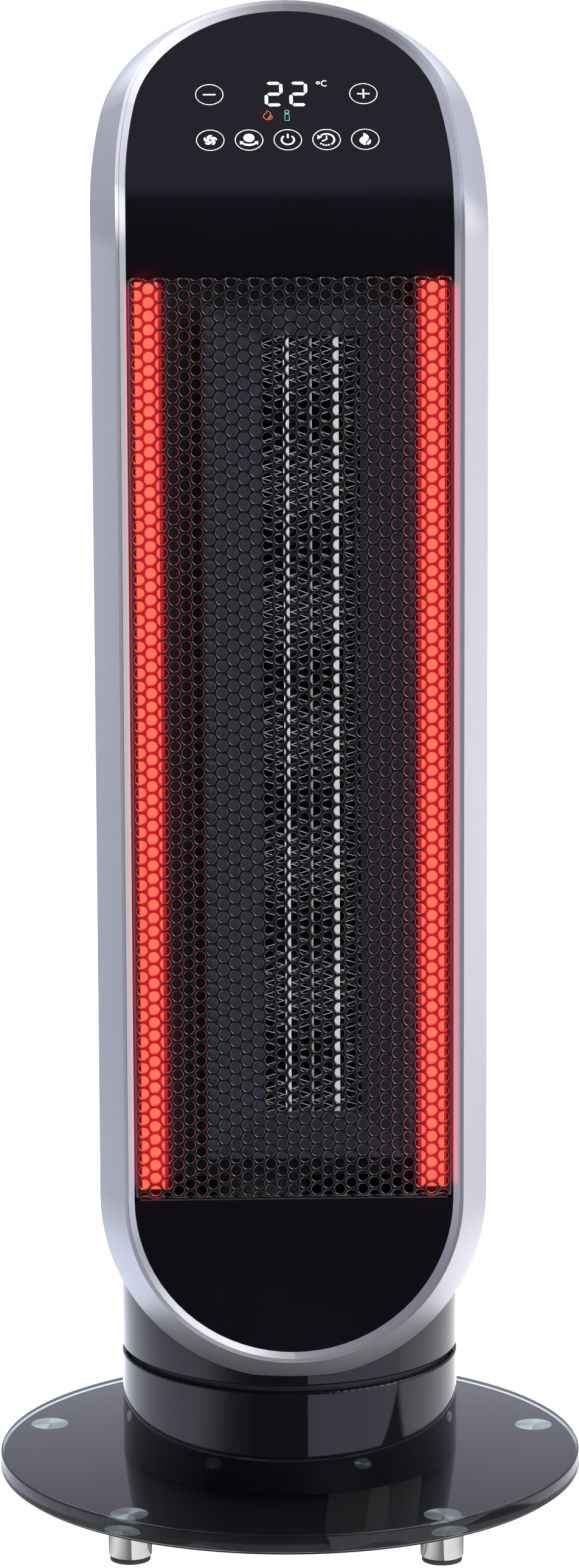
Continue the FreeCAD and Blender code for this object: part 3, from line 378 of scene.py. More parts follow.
# Turntable: the tower turns on a steel tube, with a slip ring in the dark groove and a bronze
# bushing. A small motor in the neck rolls its pinion round the fixed gear.
slip_plastic = grained("slip_plastic", (0.008, 0.008, 0.009), (0.016, 0.016, 0.018), (0.4, 0.6),
                       800.0, 0.00002)
motor_steel = grained("motor_steel", (0.25, 0.26, 0.28), (0.40, 0.41, 0.43), (0.3, 0.5), 500.0, 0.00001, 0.8)
bush_bronze = grained("bush_bronze", (0.42, 0.26, 0.10), (0.62, 0.42, 0.19), (0.25, 0.45),
                      900.0, 0.00001, 1.0)
dress(slip_plastic, "turntable_ring")
dress(bright_steel, "pivot_tube", "retaining_ring", "neck_screws")
dress(white_nylon, "oscillation_gear", "oscillation_pinion")
dress(motor_steel, "oscillation_motor")
dress(bush_bronze, "pivot_bushing")


# Front frame: one moulding round the whole face, sprayed in satin silver with metal flakes.
# The ledge behind the grille isn't sprayed, and the strips' red light on the lip beside them is a painted
# red glow in the paint's emission.
strip_low = 0.1588
strip_high = 0.5335
strip_fade = (0.0015, -0.0025)
lip_inner = 0.0660
lip_outer = 0.0686
bare_half_x = 0.0662
bare_y = -0.0778
bare_mid_z = 0.345
bare_half_z = 0.193
dark = (0.0, 0.0, 0.0)


def glow_by(material, shader, amount, stops):
    join_sockets(material, ramped(material, amount, stops), shader.inputs["Emission Color"])


def painted_red_glow(material, shader, half_width, stops):
    # A painted red glow of the side strips on what stands beside them, by the place across the face and up
    # the strips
    place = parts_of(material, own_place(material))
    across = mapped(material, place["X"], (-half_width, half_width))
    glow_by(material, shader, across, [((x / half_width + 1.0) / 2.0, color) for x, color in stops])
    from_middle = figured(material, "SUBTRACT", place["Z"], (strip_low + strip_high) / 2.0)
    ends = [(strip_high - strip_low) / 2.0 + length for length in strip_fade]
    fade = mapped(material, figured(material, "ABSOLUTE", from_middle), ends)
    join_sockets(material, fade, shader.inputs["Emission Strength"])
    return place


silver_paint, shader = new_finish("silver_paint", 0.86, Coat_Weight=0.25, Coat_Roughness=0.22)
flakes = add_node(silver_paint, "ShaderNodeTexVoronoi", Scale=5200.0)
join_sockets(silver_paint, own_place(silver_paint), flakes.inputs["Vector"])
flake_grey = add_node(silver_paint, "ShaderNodeRGBToBW")
join_sockets(silver_paint, flakes.outputs["Color"], flake_grey.inputs["Color"])
vary_gloss(silver_paint, shader, flake_grey.outputs["Val"], (0.30, 0.38))
# Painted red glow of the strips on the inner slope of the lip, stronger on the right
left_painted_glow = [(-lip_outer, dark), (-0.0672, (0.05, 0.0, 0.002)), (-lip_inner - 0.0001, (0.40, 0.012, 0.02)),
              (-lip_inner, dark)]
right_painted_glow = [(lip_inner, dark), (lip_inner + 0.0001, (0.42, 0.012, 0.02)), (0.0680, (0.36, 0.012, 0.02)),
               (lip_outer, dark)]
place = painted_red_glow(silver_paint, shader, 0.075, left_painted_glow + right_painted_glow)
inside = figured(silver_paint, "LESS_THAN", figured(silver_paint, "ABSOLUTE", place["X"]), bare_half_x)
behind = figured(silver_paint, "GREATER_THAN", place["Y"], bare_y)
beside_grille = figured(silver_paint, "COMPARE", place["Z"], bare_mid_z, bare_half_z)
ledge = figured(silver_paint, "MULTIPLY", figured(silver_paint, "MULTIPLY", inside, behind), beside_grille)
paint = ramped(silver_paint, flake_grey.outputs["Val"],
               [(0.1, (0.575, 0.59, 0.615)), (0.9, (0.645, 0.66, 0.685))])
bare_plastic = add_node(silver_paint, "ShaderNodeMix", data_type="RGBA")
bare_plastic.inputs[7].default_value = (0.004, 0.004, 0.005, 1.0)
join_sockets(silver_paint, ledge, bare_plastic.inputs[0])
join_sockets(silver_paint, paint, bare_plastic.inputs[6])
join_sockets(silver_paint, bare_plastic.outputs[2], shader.inputs["Base Color"])
raise_grain(silver_paint, shader, flake_grey.outputs["Val"], 0.000012)
dress(silver_paint, "front_frame")
dress(bright_steel, "frame_screws")


# Rear housing and intake: a satin black moulding with a fine spark-eroded grain, and a slotted
# cover of the same plastic over a black woven dust filter.
satin_black = grained("satin_black", (0.014, 0.0145, 0.017), (0.024, 0.0245, 0.028), (0.34, 0.48),
                      1600.0, 0.00004)
dress(satin_black, "rear_housing", "intake_grille")

filter_weave, shader = new_finish("filter_weave", Roughness=0.9, Sheen_Weight=0.2)
threads = []
for direction in ("X", "Z"):
    thread = add_node(filter_weave, "ShaderNodeTexWave", bands_direction=direction, Scale=280.0)
    join_sockets(filter_weave, own_place(filter_weave), thread.inputs["Vector"])
    threads.append(thread.outputs["Fac"])
crossing = figured(filter_weave, "MAXIMUM", *threads)
tint(filter_weave, shader, crossing, (0.006, 0.006, 0.007), (0.055, 0.056, 0.06), 0.55, 0.95)
raise_grain(filter_weave, shader, crossing, 0.0002)
dress(filter_weave, "dust_filter")


# Lower panel and control panel: flat gloss black mouldings in the frame's opening.
# The upper one bends back over the head, is tinted for the display, and is bare below the keys.
panel_black = piano_black("panel_black", (0.0014, 0.0012, 0.0020), (0.02, 0.05), 0.000001)
dress(panel_black, "lower_panel", "control_panel")


# Outlet grille: a thin steel sheet punched with staggered round holes, its four edges rolled back
# into the frame, and powder coated black. A rubber strip closes the slit above the lower panel.
face_y = -0.079
grille_half = 0.066
grille_low = 0.1529
grille_high = 0.5370
grille_sheet = 0.0012
hole_pitch = 0.00552
hole_r = 0.00214
hole_rim_r = 0.00242
hole_rim_depth = 0.00032
row_shift = -0.0005
roll_r = 0.0017
grille_flange = 0.0008
punched_columns = 13
column_step = hole_pitch * math.sqrt(3.0) / 2.0
roll_length = roll_r * math.pi / 2.0

black_powder, shader = new_finish("black_powder", 0.0, IOR=2.1)
coat_grain = noise_of(black_powder, 1800.0)
tint(black_powder, shader, coat_grain, (0.0022, 0.0020, 0.0026), (0.0042, 0.0040, 0.0048))
vary_gloss(black_powder, shader, coat_grain, (0.16, 0.26))
raise_grain(black_powder, shader, coat_grain, 0.00001)
# The rims of the holes are rounder and shine more than the flat webs between them
facing = add_node(black_powder, "ShaderNodeTexCoord")
slope = parts_of(black_powder, facing.outputs["Normal"])["Y"]
rim_shine = mapped(black_powder, slope, (-0.99, -0.82), (0.2, 1.0))
join_sockets(black_powder, rim_shine, shader.inputs["Specular IOR Level"])
# Painted red glow of the strips on the webs in front of and beside them
web_painted_glow = [(0.0500, dark), (0.0530, (0.06, 0.0, 0.004)), (0.0542, (0.36, 0.0, 0.004)),
             (0.0624, (0.36, 0.0, 0.004)), (0.0634, (0.10, 0.002, 0.005)), (0.0656, (0.02, 0.001, 0.002))]
painted_red_glow(black_powder, shader, 0.070, [(-x, color) for x, color in web_painted_glow[::-1]] + web_painted_glow)

bpy.ops.mesh.primitive_circle_add(vertices=6, radius=hole_pitch / math.sqrt(3.0), fill_type="NGON",
                                  rotation=(0.0, 0.0, math.pi / 2.0))
cell = added("grille_cell")
only(cell)
bpy.ops.object.mode_set(mode="EDIT")
bpy.ops.mesh.select_all(action="SELECT")
bpy.ops.mesh.subdivide(number_cuts=1)
bpy.ops.mesh.select_mode(type="FACE")
bpy.ops.mesh.select_all(action="SELECT")
done()
outline = [vertex.co.copy() for vertex in cell.data.vertices]
only(cell)
bpy.ops.object.duplicate(linked=False)
plain_cell = added("plain_cell")
bpy.ops.object.mode_set(mode="EDIT")
bpy.ops.mesh.select_all(action="SELECT")
bpy.ops.mesh.duplicate_move(TRANSFORM_OT_translate={"value": (0.0, 0.0, -grille_sheet)})
done()


def punch(radius, depth):
    # Insets the selected face and makes its outline a circle of this radius at this depth
    bpy.ops.object.mode_set(mode="EDIT")
    bpy.ops.mesh.inset(thickness=0.00001)
    done()
    for face in cell.data.polygons:
        if face.select:
            for i in face.vertices:
                co = cell.data.vertices[i].co
                size = math.hypot(co.x, co.y)
                cell.data.vertices[i].co = (co.x * radius / size, co.y * radius / size, -depth)


only(cell)
punch(hole_rim_r, 0.0)
punch(hole_r, hole_rim_depth)
punch(hole_r, grille_sheet)
punch(hole_rim_r, grille_sheet)
for face in cell.data.polygons:
    if face.select:
        for i in face.vertices:
            co = cell.data.vertices[i].co
            near = min(outline, key=lambda corner: abs(math.remainder(
                math.atan2(corner.y, corner.x) - math.atan2(co.y, co.x), 2.0 * math.pi)))
            cell.data.vertices[i].co = (near.x, near.y, -grille_sheet)
bpy.ops.object.mode_set(mode="EDIT")
bpy.ops.mesh.delete(type="ONLY_FACE")
done()

flat_half_x = grille_half - roll_r + roll_length + grille_flange
flat_mid_z = (grille_low + grille_high) / 2.0
flat_half_z = (grille_high - grille_low) / 2.0 - roll_r + roll_length + grille_flange
rows = math.ceil(flat_half_z / hole_pitch) + 1


def repeated(piece, count, step):
    array = piece.modifiers.new("repeat", "ARRAY")
    array.use_relative_offset = False
    array.use_constant_offset = True
    array.constant_offset_displace = step
    array.count = count
    array.use_merge_vertices = True
    array.merge_threshold = 0.00002
    only(piece)
    bpy.ops.object.modifier_apply(modifier=array.name)


def column_place(number):
    return (number * column_step, row_shift - hole_pitch * (rows - 0.5 * (number % 2)), 0.0)


last = punched_columns + 1
repeated(cell, 2 * rows + 1, (0.0, hole_pitch, 0.0))
repeated(plain_cell, 2 * rows + 1, (0.0, hole_pitch, 0.0))
punched = copied_to(cell, [column_place(n) for n in range(1 - last, last)], "punched_field")
margin = copied_to(plain_cell, [column_place(n) for n in (-last, last)], "plain_margin")
sheet = joined([margin, punched], "perforated_sheet")
only(sheet)
bpy.ops.object.mode_set(mode="EDIT")
bpy.ops.mesh.select_all(action="SELECT")
bpy.ops.mesh.remove_doubles(threshold=0.00002)
for side in (-1, 1):
    for part in range(4):
        bend_x = side * (grille_half - roll_r + roll_length * part / 3.0)
        bpy.ops.mesh.select_all(action="SELECT")
        bpy.ops.mesh.bisect(plane_co=(bend_x, 0, 0), plane_no=(1, 0, 0))
for co, no in (((flat_half_x, 0, 0), (1, 0, 0)), ((-flat_half_x, 0, 0), (-1, 0, 0)),
               ((0, flat_half_z, 0), (0, 1, 0)), ((0, -flat_half_z, 0), (0, -1, 0))):
    bpy.ops.mesh.select_all(action="SELECT")
    bpy.ops.mesh.bisect(plane_co=co, plane_no=no, clear_outer=True, use_fill=True)
done()
for vertex in sheet.data.vertices:
    # Rolls what lies outside the flat field back round the edge
    x, z, depth = vertex.co.x, vertex.co.y, -vertex.co.z
    over_x = max(0.0, abs(x) - (grille_half - roll_r))
    over_z = max(0.0, abs(z) - ((grille_high - grille_low) / 2.0 - roll_r))
    over = math.hypot(over_x, over_z)
    turn = min(over / roll_r, math.pi / 2.0)
    reach = (roll_r - depth) * math.sin(turn)
    straight = max(0.0, over - roll_length)
    back = roll_r - (roll_r - depth) * math.cos(turn) + straight if over > 0.0 else depth
    if over > 0.0:
        x = math.copysign(abs(x) - over_x + reach * over_x / over, x)
        z = math.copysign(abs(z) - over_z + reach * over_z / over, z)
    vertex.co = (x, face_y + back, flat_mid_z + z)
only(sheet)
bpy.ops.object.mode_set(mode="EDIT")
bpy.ops.mesh.select_all(action="SELECT")
bpy.ops.mesh.normals_make_consistent(inside=False)
done()
smooth(sheet, 62.0)
wear(sheet, black_powder, "tower", "black_metal", "grille")

seal_half = 0.0640
seal_y = (-0.0787, -0.0767)
seal_z = (0.1522, 0.1530)
seal_edge = 0.00025
bpy.ops.mesh.primitive_cube_add(size=1.0, location=(0.0, sum(seal_y) / 2.0, sum(seal_z) / 2.0))
bpy.context.object.scale = (2.0 * seal_half, seal_y[1] - seal_y[0], seal_z[1] - seal_z[0])
seal = added("grille_seal")
pick(seal, "EDGE", lambda co: True)
bpy.ops.mesh.bevel(offset=seal_edge, segments=3, affect="EDGES")
done()
smooth(seal)
wear(seal, black_rubber, "tower", "rubber")


# Display and keys: the touch pads and a two-digit display sit on a board behind the head's panel.
# The key signs are printed on the panel in pale grey, and the display glows through it.
head_origin = (0.0, -0.06841, 0.57188)
head_tilt = math.radians(42.0)
key_pitch = 0.01575
key_row_low = 0.0257
key_row_high = 0.0510
key_ring_r = 0.0056
line_width = 0.00042
sign_height = 0.00012

display_black = piano_black("display_black", (0.012, 0.012, 0.013), (0.08, 0.15), 0.000002)
contact_foam = grained("contact_foam", (0.05, 0.05, 0.052), (0.10, 0.10, 0.103), (0.7, 0.9), 900.0, 0.0001)


def circuit_board(name, mask, track):
    material, shader = new_finish(name, Roughness=0.42)
    tracks = add_node(material, "ShaderNodeTexBrick", Scale=160.0)
    tracks.inputs["Color1"].default_value = (*mask, 1.0)
    tracks.inputs["Color2"].default_value = (*[0.8 * c for c in mask], 1.0)
    tracks.inputs["Mortar"].default_value = (*track, 1.0)
    tracks.inputs["Mortar Size"].default_value = 0.012
    join_sockets(material, own_place(material, turn=(0.6, 0.7, 0.0)), tracks.inputs["Vector"])
    join_sockets(material, tracks.outputs["Color"], shader.inputs["Base Color"])
    raise_grain(material, shader, tracks.outputs["Fac"], 0.00002)
    return material


green_board = circuit_board("green_board", (0.012, 0.11, 0.045), (0.05, 0.22, 0.09))
dress(display_black, "display_module")
dress(contact_foam, "touch_pads")
dress(green_board, "display_board")
dress(bright_steel, "display_screws")

sign_print = grained("sign_print", (0.84, 0.86, 0.88), (0.90, 0.92, 0.94), (0.35, 0.5), 1200.0, 0.000002)


def glowing(name, color, strength, dim=0.85):
    material, shader = new_finish(name, Base_Color=(*[0.5 * c for c in color], 1.0), Roughness=0.4,
                                  Emission_Strength=strength)
    glow_by(material, shader, noise_of(material, 700.0), [(0.0, [dim * c for c in color]), (1.0, color)])
    return material


digit_light = glowing("digit_light", (1.0, 0.98, 0.96), 1.15, 0.92)
flame_light = glowing("flame_light", (1.0, 0.20, 0.05), 0.55)
person_light = glowing("person_light", (0.16, 0.85, 0.46), 0.6)


def on_panel(piece, x, t):
    # Flattens a sign that lies in the XY plane to a thin inlay and lays it on the head's panel
    only(piece)
    bpy.ops.object.convert(target="MESH")
    piece = bpy.context.object
    thick = max(vertex.co.z for vertex in piece.data.vertices)
    for vertex in piece.data.vertices:
        vertex.co.z *= sign_height / thick
    piece.location = (0.0, 0.0, 0.0)
    piece.data.transform(Matrix.Translation((x, t, 0.0)))
    piece.rotation_euler = (head_tilt, 0.0, 0.0)
    piece.location = head_origin
    return settle(piece)


def stroke(points, width=line_width, closed=False):
    # A drawn line of even width, round in section, with its ends closed
    curve = bpy.data.curves.new("stroke", "CURVE")
    curve.dimensions = "3D"
    curve.bevel_depth = width / 2.0
    curve.bevel_resolution = 1
    curve.use_fill_caps = True
    line = curve.splines.new("POLY")
    line.points.add(len(points) - 1)
    for point, (x, y) in zip(line.points, points):
        point.co = (x, y, 0.0, 1.0)
    line.use_cyclic_u = closed
    piece = bpy.data.objects.new("stroke", curve)
    bpy.context.scene.collection.objects.link(piece)
    return piece


def filled(points, corners="AUTO"):
    # A filled flat shape with a smooth outline through the points, or a straight one for corners "VECTOR"
    curve = bpy.data.curves.new("filled", "CURVE")
    curve.dimensions = "2D"
    curve.fill_mode = "BOTH"
    curve.extrude = line_width / 2.0
    curve.resolution_u = 6
    line = curve.splines.new("BEZIER")
    line.bezier_points.add(len(points) - 1)
    for point, (x, y) in zip(line.bezier_points, points):
        point.co = (x, y, 0.0)
        point.handle_left_type = point.handle_right_type = corners
    line.use_cyclic_u = True
    piece = bpy.data.objects.new("filled", curve)
    bpy.context.scene.collection.objects.link(piece)
    return piece


def arc(radius, start, end, steps=24, squash=1.0, rise=0.0):
    angles = [math.radians(start + (end - start) * i / steps) for i in range(steps + 1)]
    return [(radius * math.cos(a), rise + squash * radius * math.sin(a)) for a in angles]


def ring(radius, width=line_width):
    return stroke(arc(radius, 0.0, 360.0, 48)[:-1], width, True)


def in_mm(points, scale=1.0):
    return [(0.001 * scale * x, 0.001 * scale * y) for x, y in points]


flame_body = [(-0.58, 3.24), (0.38, 2.87), (1.28, 1.78), (1.5, 0.84), (1.05, -0.4), (0.16, -1.8),
              (0.05, -3.05), (-1.19, -2.6), (-2.2, -1.34), (-2.3, -0.25), (-1.74, 0.84), (-0.74, 1.78)]
flame_tongue = [(1.9, -0.19), (2.35, -1.18), (1.83, -2.43), (0.72, -3.0), (0.83, -1.8), (1.5, -0.93)]
swing_arrow = [(-3.74, -0.56), (-2.06, -1.09), (-2.6, -1.53), (-1.61, -2.02), (0.0, -2.27), (1.61, -2.02),
               (2.6, -1.53), (2.06, -1.09), (3.74, -0.56), (3.67, -2.55), (2.9, -2.2), (1.61, -3.02),
               (0.0, -3.36), (-1.61, -3.02), (-2.9, -2.2), (-3.67, -2.55)]
timer_tip = [(-3.65, 2.5), (-1.7, 1.3), (-3.69, 0.1)]
timer_hands = [(0.0, 2.0), (0.0, 0.16), (-1.86, -0.87)]
timer_dots = [(-2.26, -2.27), (-1.3, -2.96), (-0.18, -3.18), (0.87, -3.02)]
blade = [(0.5, 150.0), (1.71, 144.0), (2.54, 109.0), (2.82, 84.0), (2.67, 72.6), (1.78, 88.0), (0.86, 101.0)]

signs = []


def sign(piece, column, t=key_row_low):
    signs.append(on_panel(piece, column * key_pitch, t))


for column in range(-2, 3):
    sign(ring(key_ring_r), column)
for column in (-2, 2):
    sign(ring(key_ring_r), column, key_row_high)
    sign(stroke(in_mm([(-2.6, 0.0), (2.6, 0.0)]), 0.0008), column, key_row_high)
sign(stroke(in_mm([(0.0, -2.6), (0.0, 2.6)]), 0.0008), 2, key_row_high)
for turn in range(0, 360, 72):
    sign(filled([(0.001 * r * math.cos(math.radians(a + turn)), 0.001 * r * math.sin(math.radians(a + turn)))
                 for r, a in blade]), -2)
sign(filled(arc(0.00224, 0.0, 315.0, 7, 1.0, 0.00115)), -1)
sign(filled(in_mm(swing_arrow), "VECTOR"), -1)
sign(stroke(arc(0.00255, 130.0, 410.0, 28), 0.00088), 0)
sign(stroke(in_mm([(0.0, 0.9), (0.0, 3.2)]), 0.00085), 0)
sign(stroke(arc(0.00315, 136.0, -55.0, 24), 0.00088), 1)
sign(filled(in_mm(timer_tip), "VECTOR"), 1)
sign(stroke(in_mm(timer_hands), 0.00075), 1)
for x, y in timer_dots:
    sign(filled([(0.001 * x + dx, 0.001 * y + dy) for dx, dy in arc(0.00042, 0.0, 315.0, 7)]), 1)
sign(filled(in_mm(flame_body)), 2)
sign(filled(in_mm(flame_tongue)), 2)
key_signs = joined(signs, "key_signs")
wear(key_signs, sign_print, "tower", "white_plastic")

digit_x = 0.00504
digit_shift = -0.0001
bar_long = 0.00263
bar_tall = 0.0027
bar_half = 0.00074
bar_half_upright = 0.00068
bar_point = 0.00075
bar_levels = [(-0.00009, 0.00604), (0.00004, 0.0), (0.00009, -0.00598)]
upright_places = [(0.00299, 0.00306), (-0.00304, -0.00306)]
digits = []


def bar(x, t, half, across, upright):
    # One display bar with pointed ends
    shape = [(-half, 0.0), (bar_point - half, across), (half - bar_point, across), (half, 0.0),
             (half - bar_point, -across), (bar_point - half, -across)]
    if upright:
        shape = [(-b, a) for a, b in shape]
    digits.append(on_panel(filled(shape, "VECTOR"), x, key_row_high + t))


for x in (digit_shift - digit_x, digit_shift + digit_x):
    for lean, t in bar_levels:
        bar(x + lean, t, bar_long, bar_half, False)
    for aside, t in upright_places:
        bar(x + aside, t, bar_tall, bar_half_upright, True)
degree_x = 0.0131
degree_t = 0.0572
digits.append(on_panel(ring(0.00062, 0.0004), degree_x, degree_t))
degree_letter = stroke(arc(0.0013, 55.0, 305.0, 20, 1.15), line_width)
digits.append(on_panel(degree_letter, degree_x + 0.0027, degree_t - 0.0003))
display_digits = joined(digits, "display_digits")
wear(display_digits, digit_light, "tower", "display")

lamp_t = 0.0392
lamp_line = 0.0003
flame_x = -0.0078
person_head_r = 0.00086
person_head_t = 0.0020
flame_lamp = joined([on_panel(stroke(in_mm(shape, 0.8), lamp_line, True), flame_x, lamp_t)
                     for shape in (flame_body, flame_tongue)], "flame_lamp")
wear(flame_lamp, flame_light, "tower", "display")
person_body = [(-0.86, -2.8), (0.86, -2.8), (0.86, 0.7), (-0.86, 0.7)]
figure = [on_panel(ring(person_head_r, lamp_line), 0.0, lamp_t + person_head_t),
          on_panel(stroke(in_mm(person_body), lamp_line, True), 0.0, lamp_t)]
person_lamp = joined(figure, "person_lamp")
wear(person_lamp, person_light, "tower", "display")


# Chassis and outlet duct: a dark plastic plate carries everything behind the grille, and a
# funnel of dark coated sheet leads the warm air from the heater to the grille.
duct_coat = grained("duct_coat", (0.028, 0.030, 0.045), (0.041, 0.043, 0.063), (0.30, 0.42), 700.0, 0.00001)
chassis_plastic = grained("chassis_plastic", (0.009, 0.009, 0.010), (0.017, 0.017, 0.019), (0.4, 0.55),
                          900.0, 0.00003)
dress(chassis_plastic, "chassis")
dress(duct_coat, "outlet_duct")
dress(white_nylon, "thermal_cutout")


# Side lights: a red light guide each side with a lamp strip behind it, in a sheet channel.
# The guide is frosted acrylic and glows evenly, a little brighter over each lamp.
guide_glow, shader = new_finish("guide_glow", Base_Color=(0.35, 0.01, 0.008, 1.0), Roughness=0.35)
guide_x = (0.050, 0.066)
guide_place = parts_of(guide_glow, own_place(guide_glow))
across = mapped(guide_glow, figured(guide_glow, "ABSOLUTE", guide_place["X"]), guide_x)
glow_by(guide_glow, shader, across, [
    (0.12, (0.006, 0.0, 0.001)), (0.19, (0.016, 0.0, 0.001)), (0.220, (0.045, 0.0, 0.001)),
    (0.228, (1.0, 0.026, 0.014)), (0.800, (1.0, 0.026, 0.014)), (0.808, (0.045, 0.0, 0.001)),
    (0.84, (0.016, 0.0, 0.001)), (0.88, (0.006, 0.0, 0.001))])
lamps = add_node(guide_glow, "ShaderNodeTexWave", bands_direction="Z", Scale=18.0)
join_sockets(guide_glow, own_place(guide_glow), lamps.inputs["Vector"])
lamp_power = mapped(guide_glow, lamps.outputs["Fac"], (0.0, 1.0), (6.0, 6.5))
join_sockets(guide_glow, lamp_power, shader.inputs["Emission Strength"])
white_board = circuit_board("white_board", (0.70, 0.70, 0.68), (0.45, 0.40, 0.30))
channel_sheet = grained("channel_sheet", (0.030, 0.022, 0.023), (0.050, 0.038, 0.040), (0.3, 0.45),
                        500.0, 0.00001)
dress(guide_glow, "light_guides")
dress(white_board, "led_strips")
dress(channel_sheet, "light_channels")


# Ceramic heater: two heater bars in aluminium tubes, with folded aluminium fins on both sides
# between thin side plates. The fins and plates are painted light where they face forward and dark on their
# flanks, as painted highlight and shade.
fin_aluminium, shader = new_finish("fin_aluminium", 0.3)
# Painted highlight and shade: faces turned to the front are light, faces turned aside are dark
facing = add_node(fin_aluminium, "ShaderNodeTexCoord")
fin_slope = parts_of(fin_aluminium, facing.outputs["Normal"])["Y"]
painted_light_by_facing = figured(fin_aluminium, "MULTIPLY", fin_slope, -1.0)
tint(fin_aluminium, shader, painted_light_by_facing, (0.03, 0.03, 0.033), (0.58, 0.59, 0.60), 0.45, 0.8)
fin_grain = noise_of(fin_aluminium, 800.0, (1.0, 1.0, 0.06))
vary_gloss(fin_aluminium, shader, fin_grain, (0.28, 0.42))
raise_grain(fin_aluminium, shader, fin_grain, 0.000008)
bar_aluminium = grained("bar_aluminium", (0.90, 0.90, 0.91), (0.95, 0.95, 0.96), (0.30, 0.45),
                        1100.0, 0.00001, 0.1)
brown_block = grained("brown_block", (0.10, 0.06, 0.035), (0.20, 0.13, 0.08), (0.5, 0.7), 700.0, 0.00003)
dress(fin_aluminium, "ptc_fins", "ptc_plates")
dress(bar_aluminium, "ptc_bars")
dress(brown_block, "ptc_holders")


# Crossflow fan: a long wheel of thin blades on a steel shaft, between two end plates, with a
# sheet scroll and tongue round it, a motor below and a rubber-mounted bearing above.
fan_sheet = grained("fan_sheet", (0.36, 0.37, 0.39), (0.50, 0.51, 0.53), (0.28, 0.42), 260.0, 0.00001, 1.0)
blade_aluminium = grained("blade_aluminium", (0.55, 0.56, 0.58), (0.72, 0.73, 0.75), (0.2, 0.36),
                          700.0, 0.00001, 1.0, (1.0, 1.0, 0.08))
dress(fan_sheet, "fan_endplates", "fan_scroll", "fan_tongue")
dress(blade_aluminium, "impeller")
dress(motor_steel, "fan_motor")
dress(black_rubber, "fan_bearing")
dress(bright_steel, "fan_shaft")


# Control board: a green board upright in the housing with three blue relays and the tip-over
# switch, which cuts the heat when the tower falls.
relay_blue = grained("relay_blue", (0.012, 0.05, 0.20), (0.025, 0.085, 0.30), (0.3, 0.45), 900.0, 0.00001)
dress(green_board, "power_board")
dress(relay_blue, "relays")
dress(white_nylon, "tilt_switch")


# Studio: a pale floor, soft boxes round the heater, and cards on the floor that only gloss and glass
# mirror. The camera stands a little left of the axis and looks slightly down.
def panel(name, size, place, look_at, radiance, color=(1.0, 1.0, 1.0)):
    bpy.ops.object.light_add(type="AREA", location=place)
    lamp = bpy.context.object
    lamp.name = name
    lamp.data.shape = "RECTANGLE"
    lamp.data.size, lamp.data.size_y = size
    lamp.data.energy = radiance * math.pi * size[0] * size[1]
    lamp.data.color = color
    toward = [b - a for a, b in zip(place, look_at)]
    lamp.rotation_euler = Vector(toward).to_track_quat("-Z", "Y").to_euler()
    return lamp


floor_white, shader = new_finish("floor_white", Roughness=0.9, Emission_Color=(1.0, 1.0, 1.0, 1.0),
                                 Emission_Strength=1.0)
tint(floor_white, shader, noise_of(floor_white, 3.0), (0.34, 0.34, 0.34), (0.36, 0.36, 0.36))
bpy.ops.mesh.primitive_plane_add(size=60.0)
floor = added("floor")
floor.data.materials.append(floor_white)


def reflected_only(piece, name, material):
    # A studio card that shows in gloss and glass, but not to the camera, and casts no light or shadow
    piece.data.materials.append(material)
    settle(piece, name)
    piece.visible_camera = False
    piece.visible_diffuse = False
    piece.visible_shadow = False


def cornered_card(name, material, corners, height):
    bpy.ops.mesh.primitive_plane_add(size=1.0)
    for vertex, corner in zip(bpy.context.object.data.vertices, corners):
        vertex.co = (*corner, height)
    reflected_only(bpy.context.object, name, material)


def round_card(name, material, radius, place, corners=64):
    bpy.ops.mesh.primitive_circle_add(vertices=corners, radius=radius, fill_type="NGON", location=place)
    reflected_only(bpy.context.object, name, material)


def card_finish(name, strength, rough=0.5):
    return new_finish(name, Base_Color=(0.0, 0.0, 0.0, 1.0), Roughness=rough, Emission_Strength=strength)


# The floor as the gloss mirrors it: dark in front of the heater and bright to both sides, and painted dark
# round the middle as the plate's shadow
mirrored, shader = card_finish("mirrored_floor", 1.0, 1.0)
around = add_node(mirrored, "ShaderNodeTexGradient", gradient_type="RADIAL")
away = add_node(mirrored, "ShaderNodeVectorMath", operation="LENGTH")
join_sockets(mirrored, own_place(mirrored), around.inputs["Vector"])
join_sockets(mirrored, own_place(mirrored), away.inputs[0])
glow_by(mirrored, shader, around.outputs["Fac"], [
    (0.0, (0.48, 0.50, 0.60)), (0.09, (0.44, 0.44, 0.55)), (0.15, (0.10, 0.095, 0.13)),
    (0.19, (0.03, 0.027, 0.038)), (0.436, (0.035, 0.032, 0.042)), (0.446, (0.56, 0.52, 0.58)),
    (0.65, (0.84, 0.82, 0.86)), (0.85, (0.80, 0.83, 0.92)), (1.0, (0.48, 0.50, 0.60))])
# Painted shadow: the mirrored floor is dark within about 0.12 m of the middle, under the plate
far_greys_with_painted_shadow = [(0.06, 0.15), (0.075, 1.15), (0.15, 1.05), (0.25, 0.54), (0.40, 0.46), (1.0, 0.50)]
far_grey = ramped(mirrored, mapped(mirrored, away.outputs["Value"], (0.0, 2.0)),
                  [(reach, (grey, grey, grey)) for reach, grey in far_greys_with_painted_shadow])
join_sockets(mirrored, figured(mirrored, "MULTIPLY", far_grey, 2.0), shader.inputs["Emission Strength"])
bpy.ops.mesh.primitive_plane_add(size=60.0, location=(0.0, 0.0, 0.0012))
reflected_only(bpy.context.object, "mirrored_floor", mirrored)

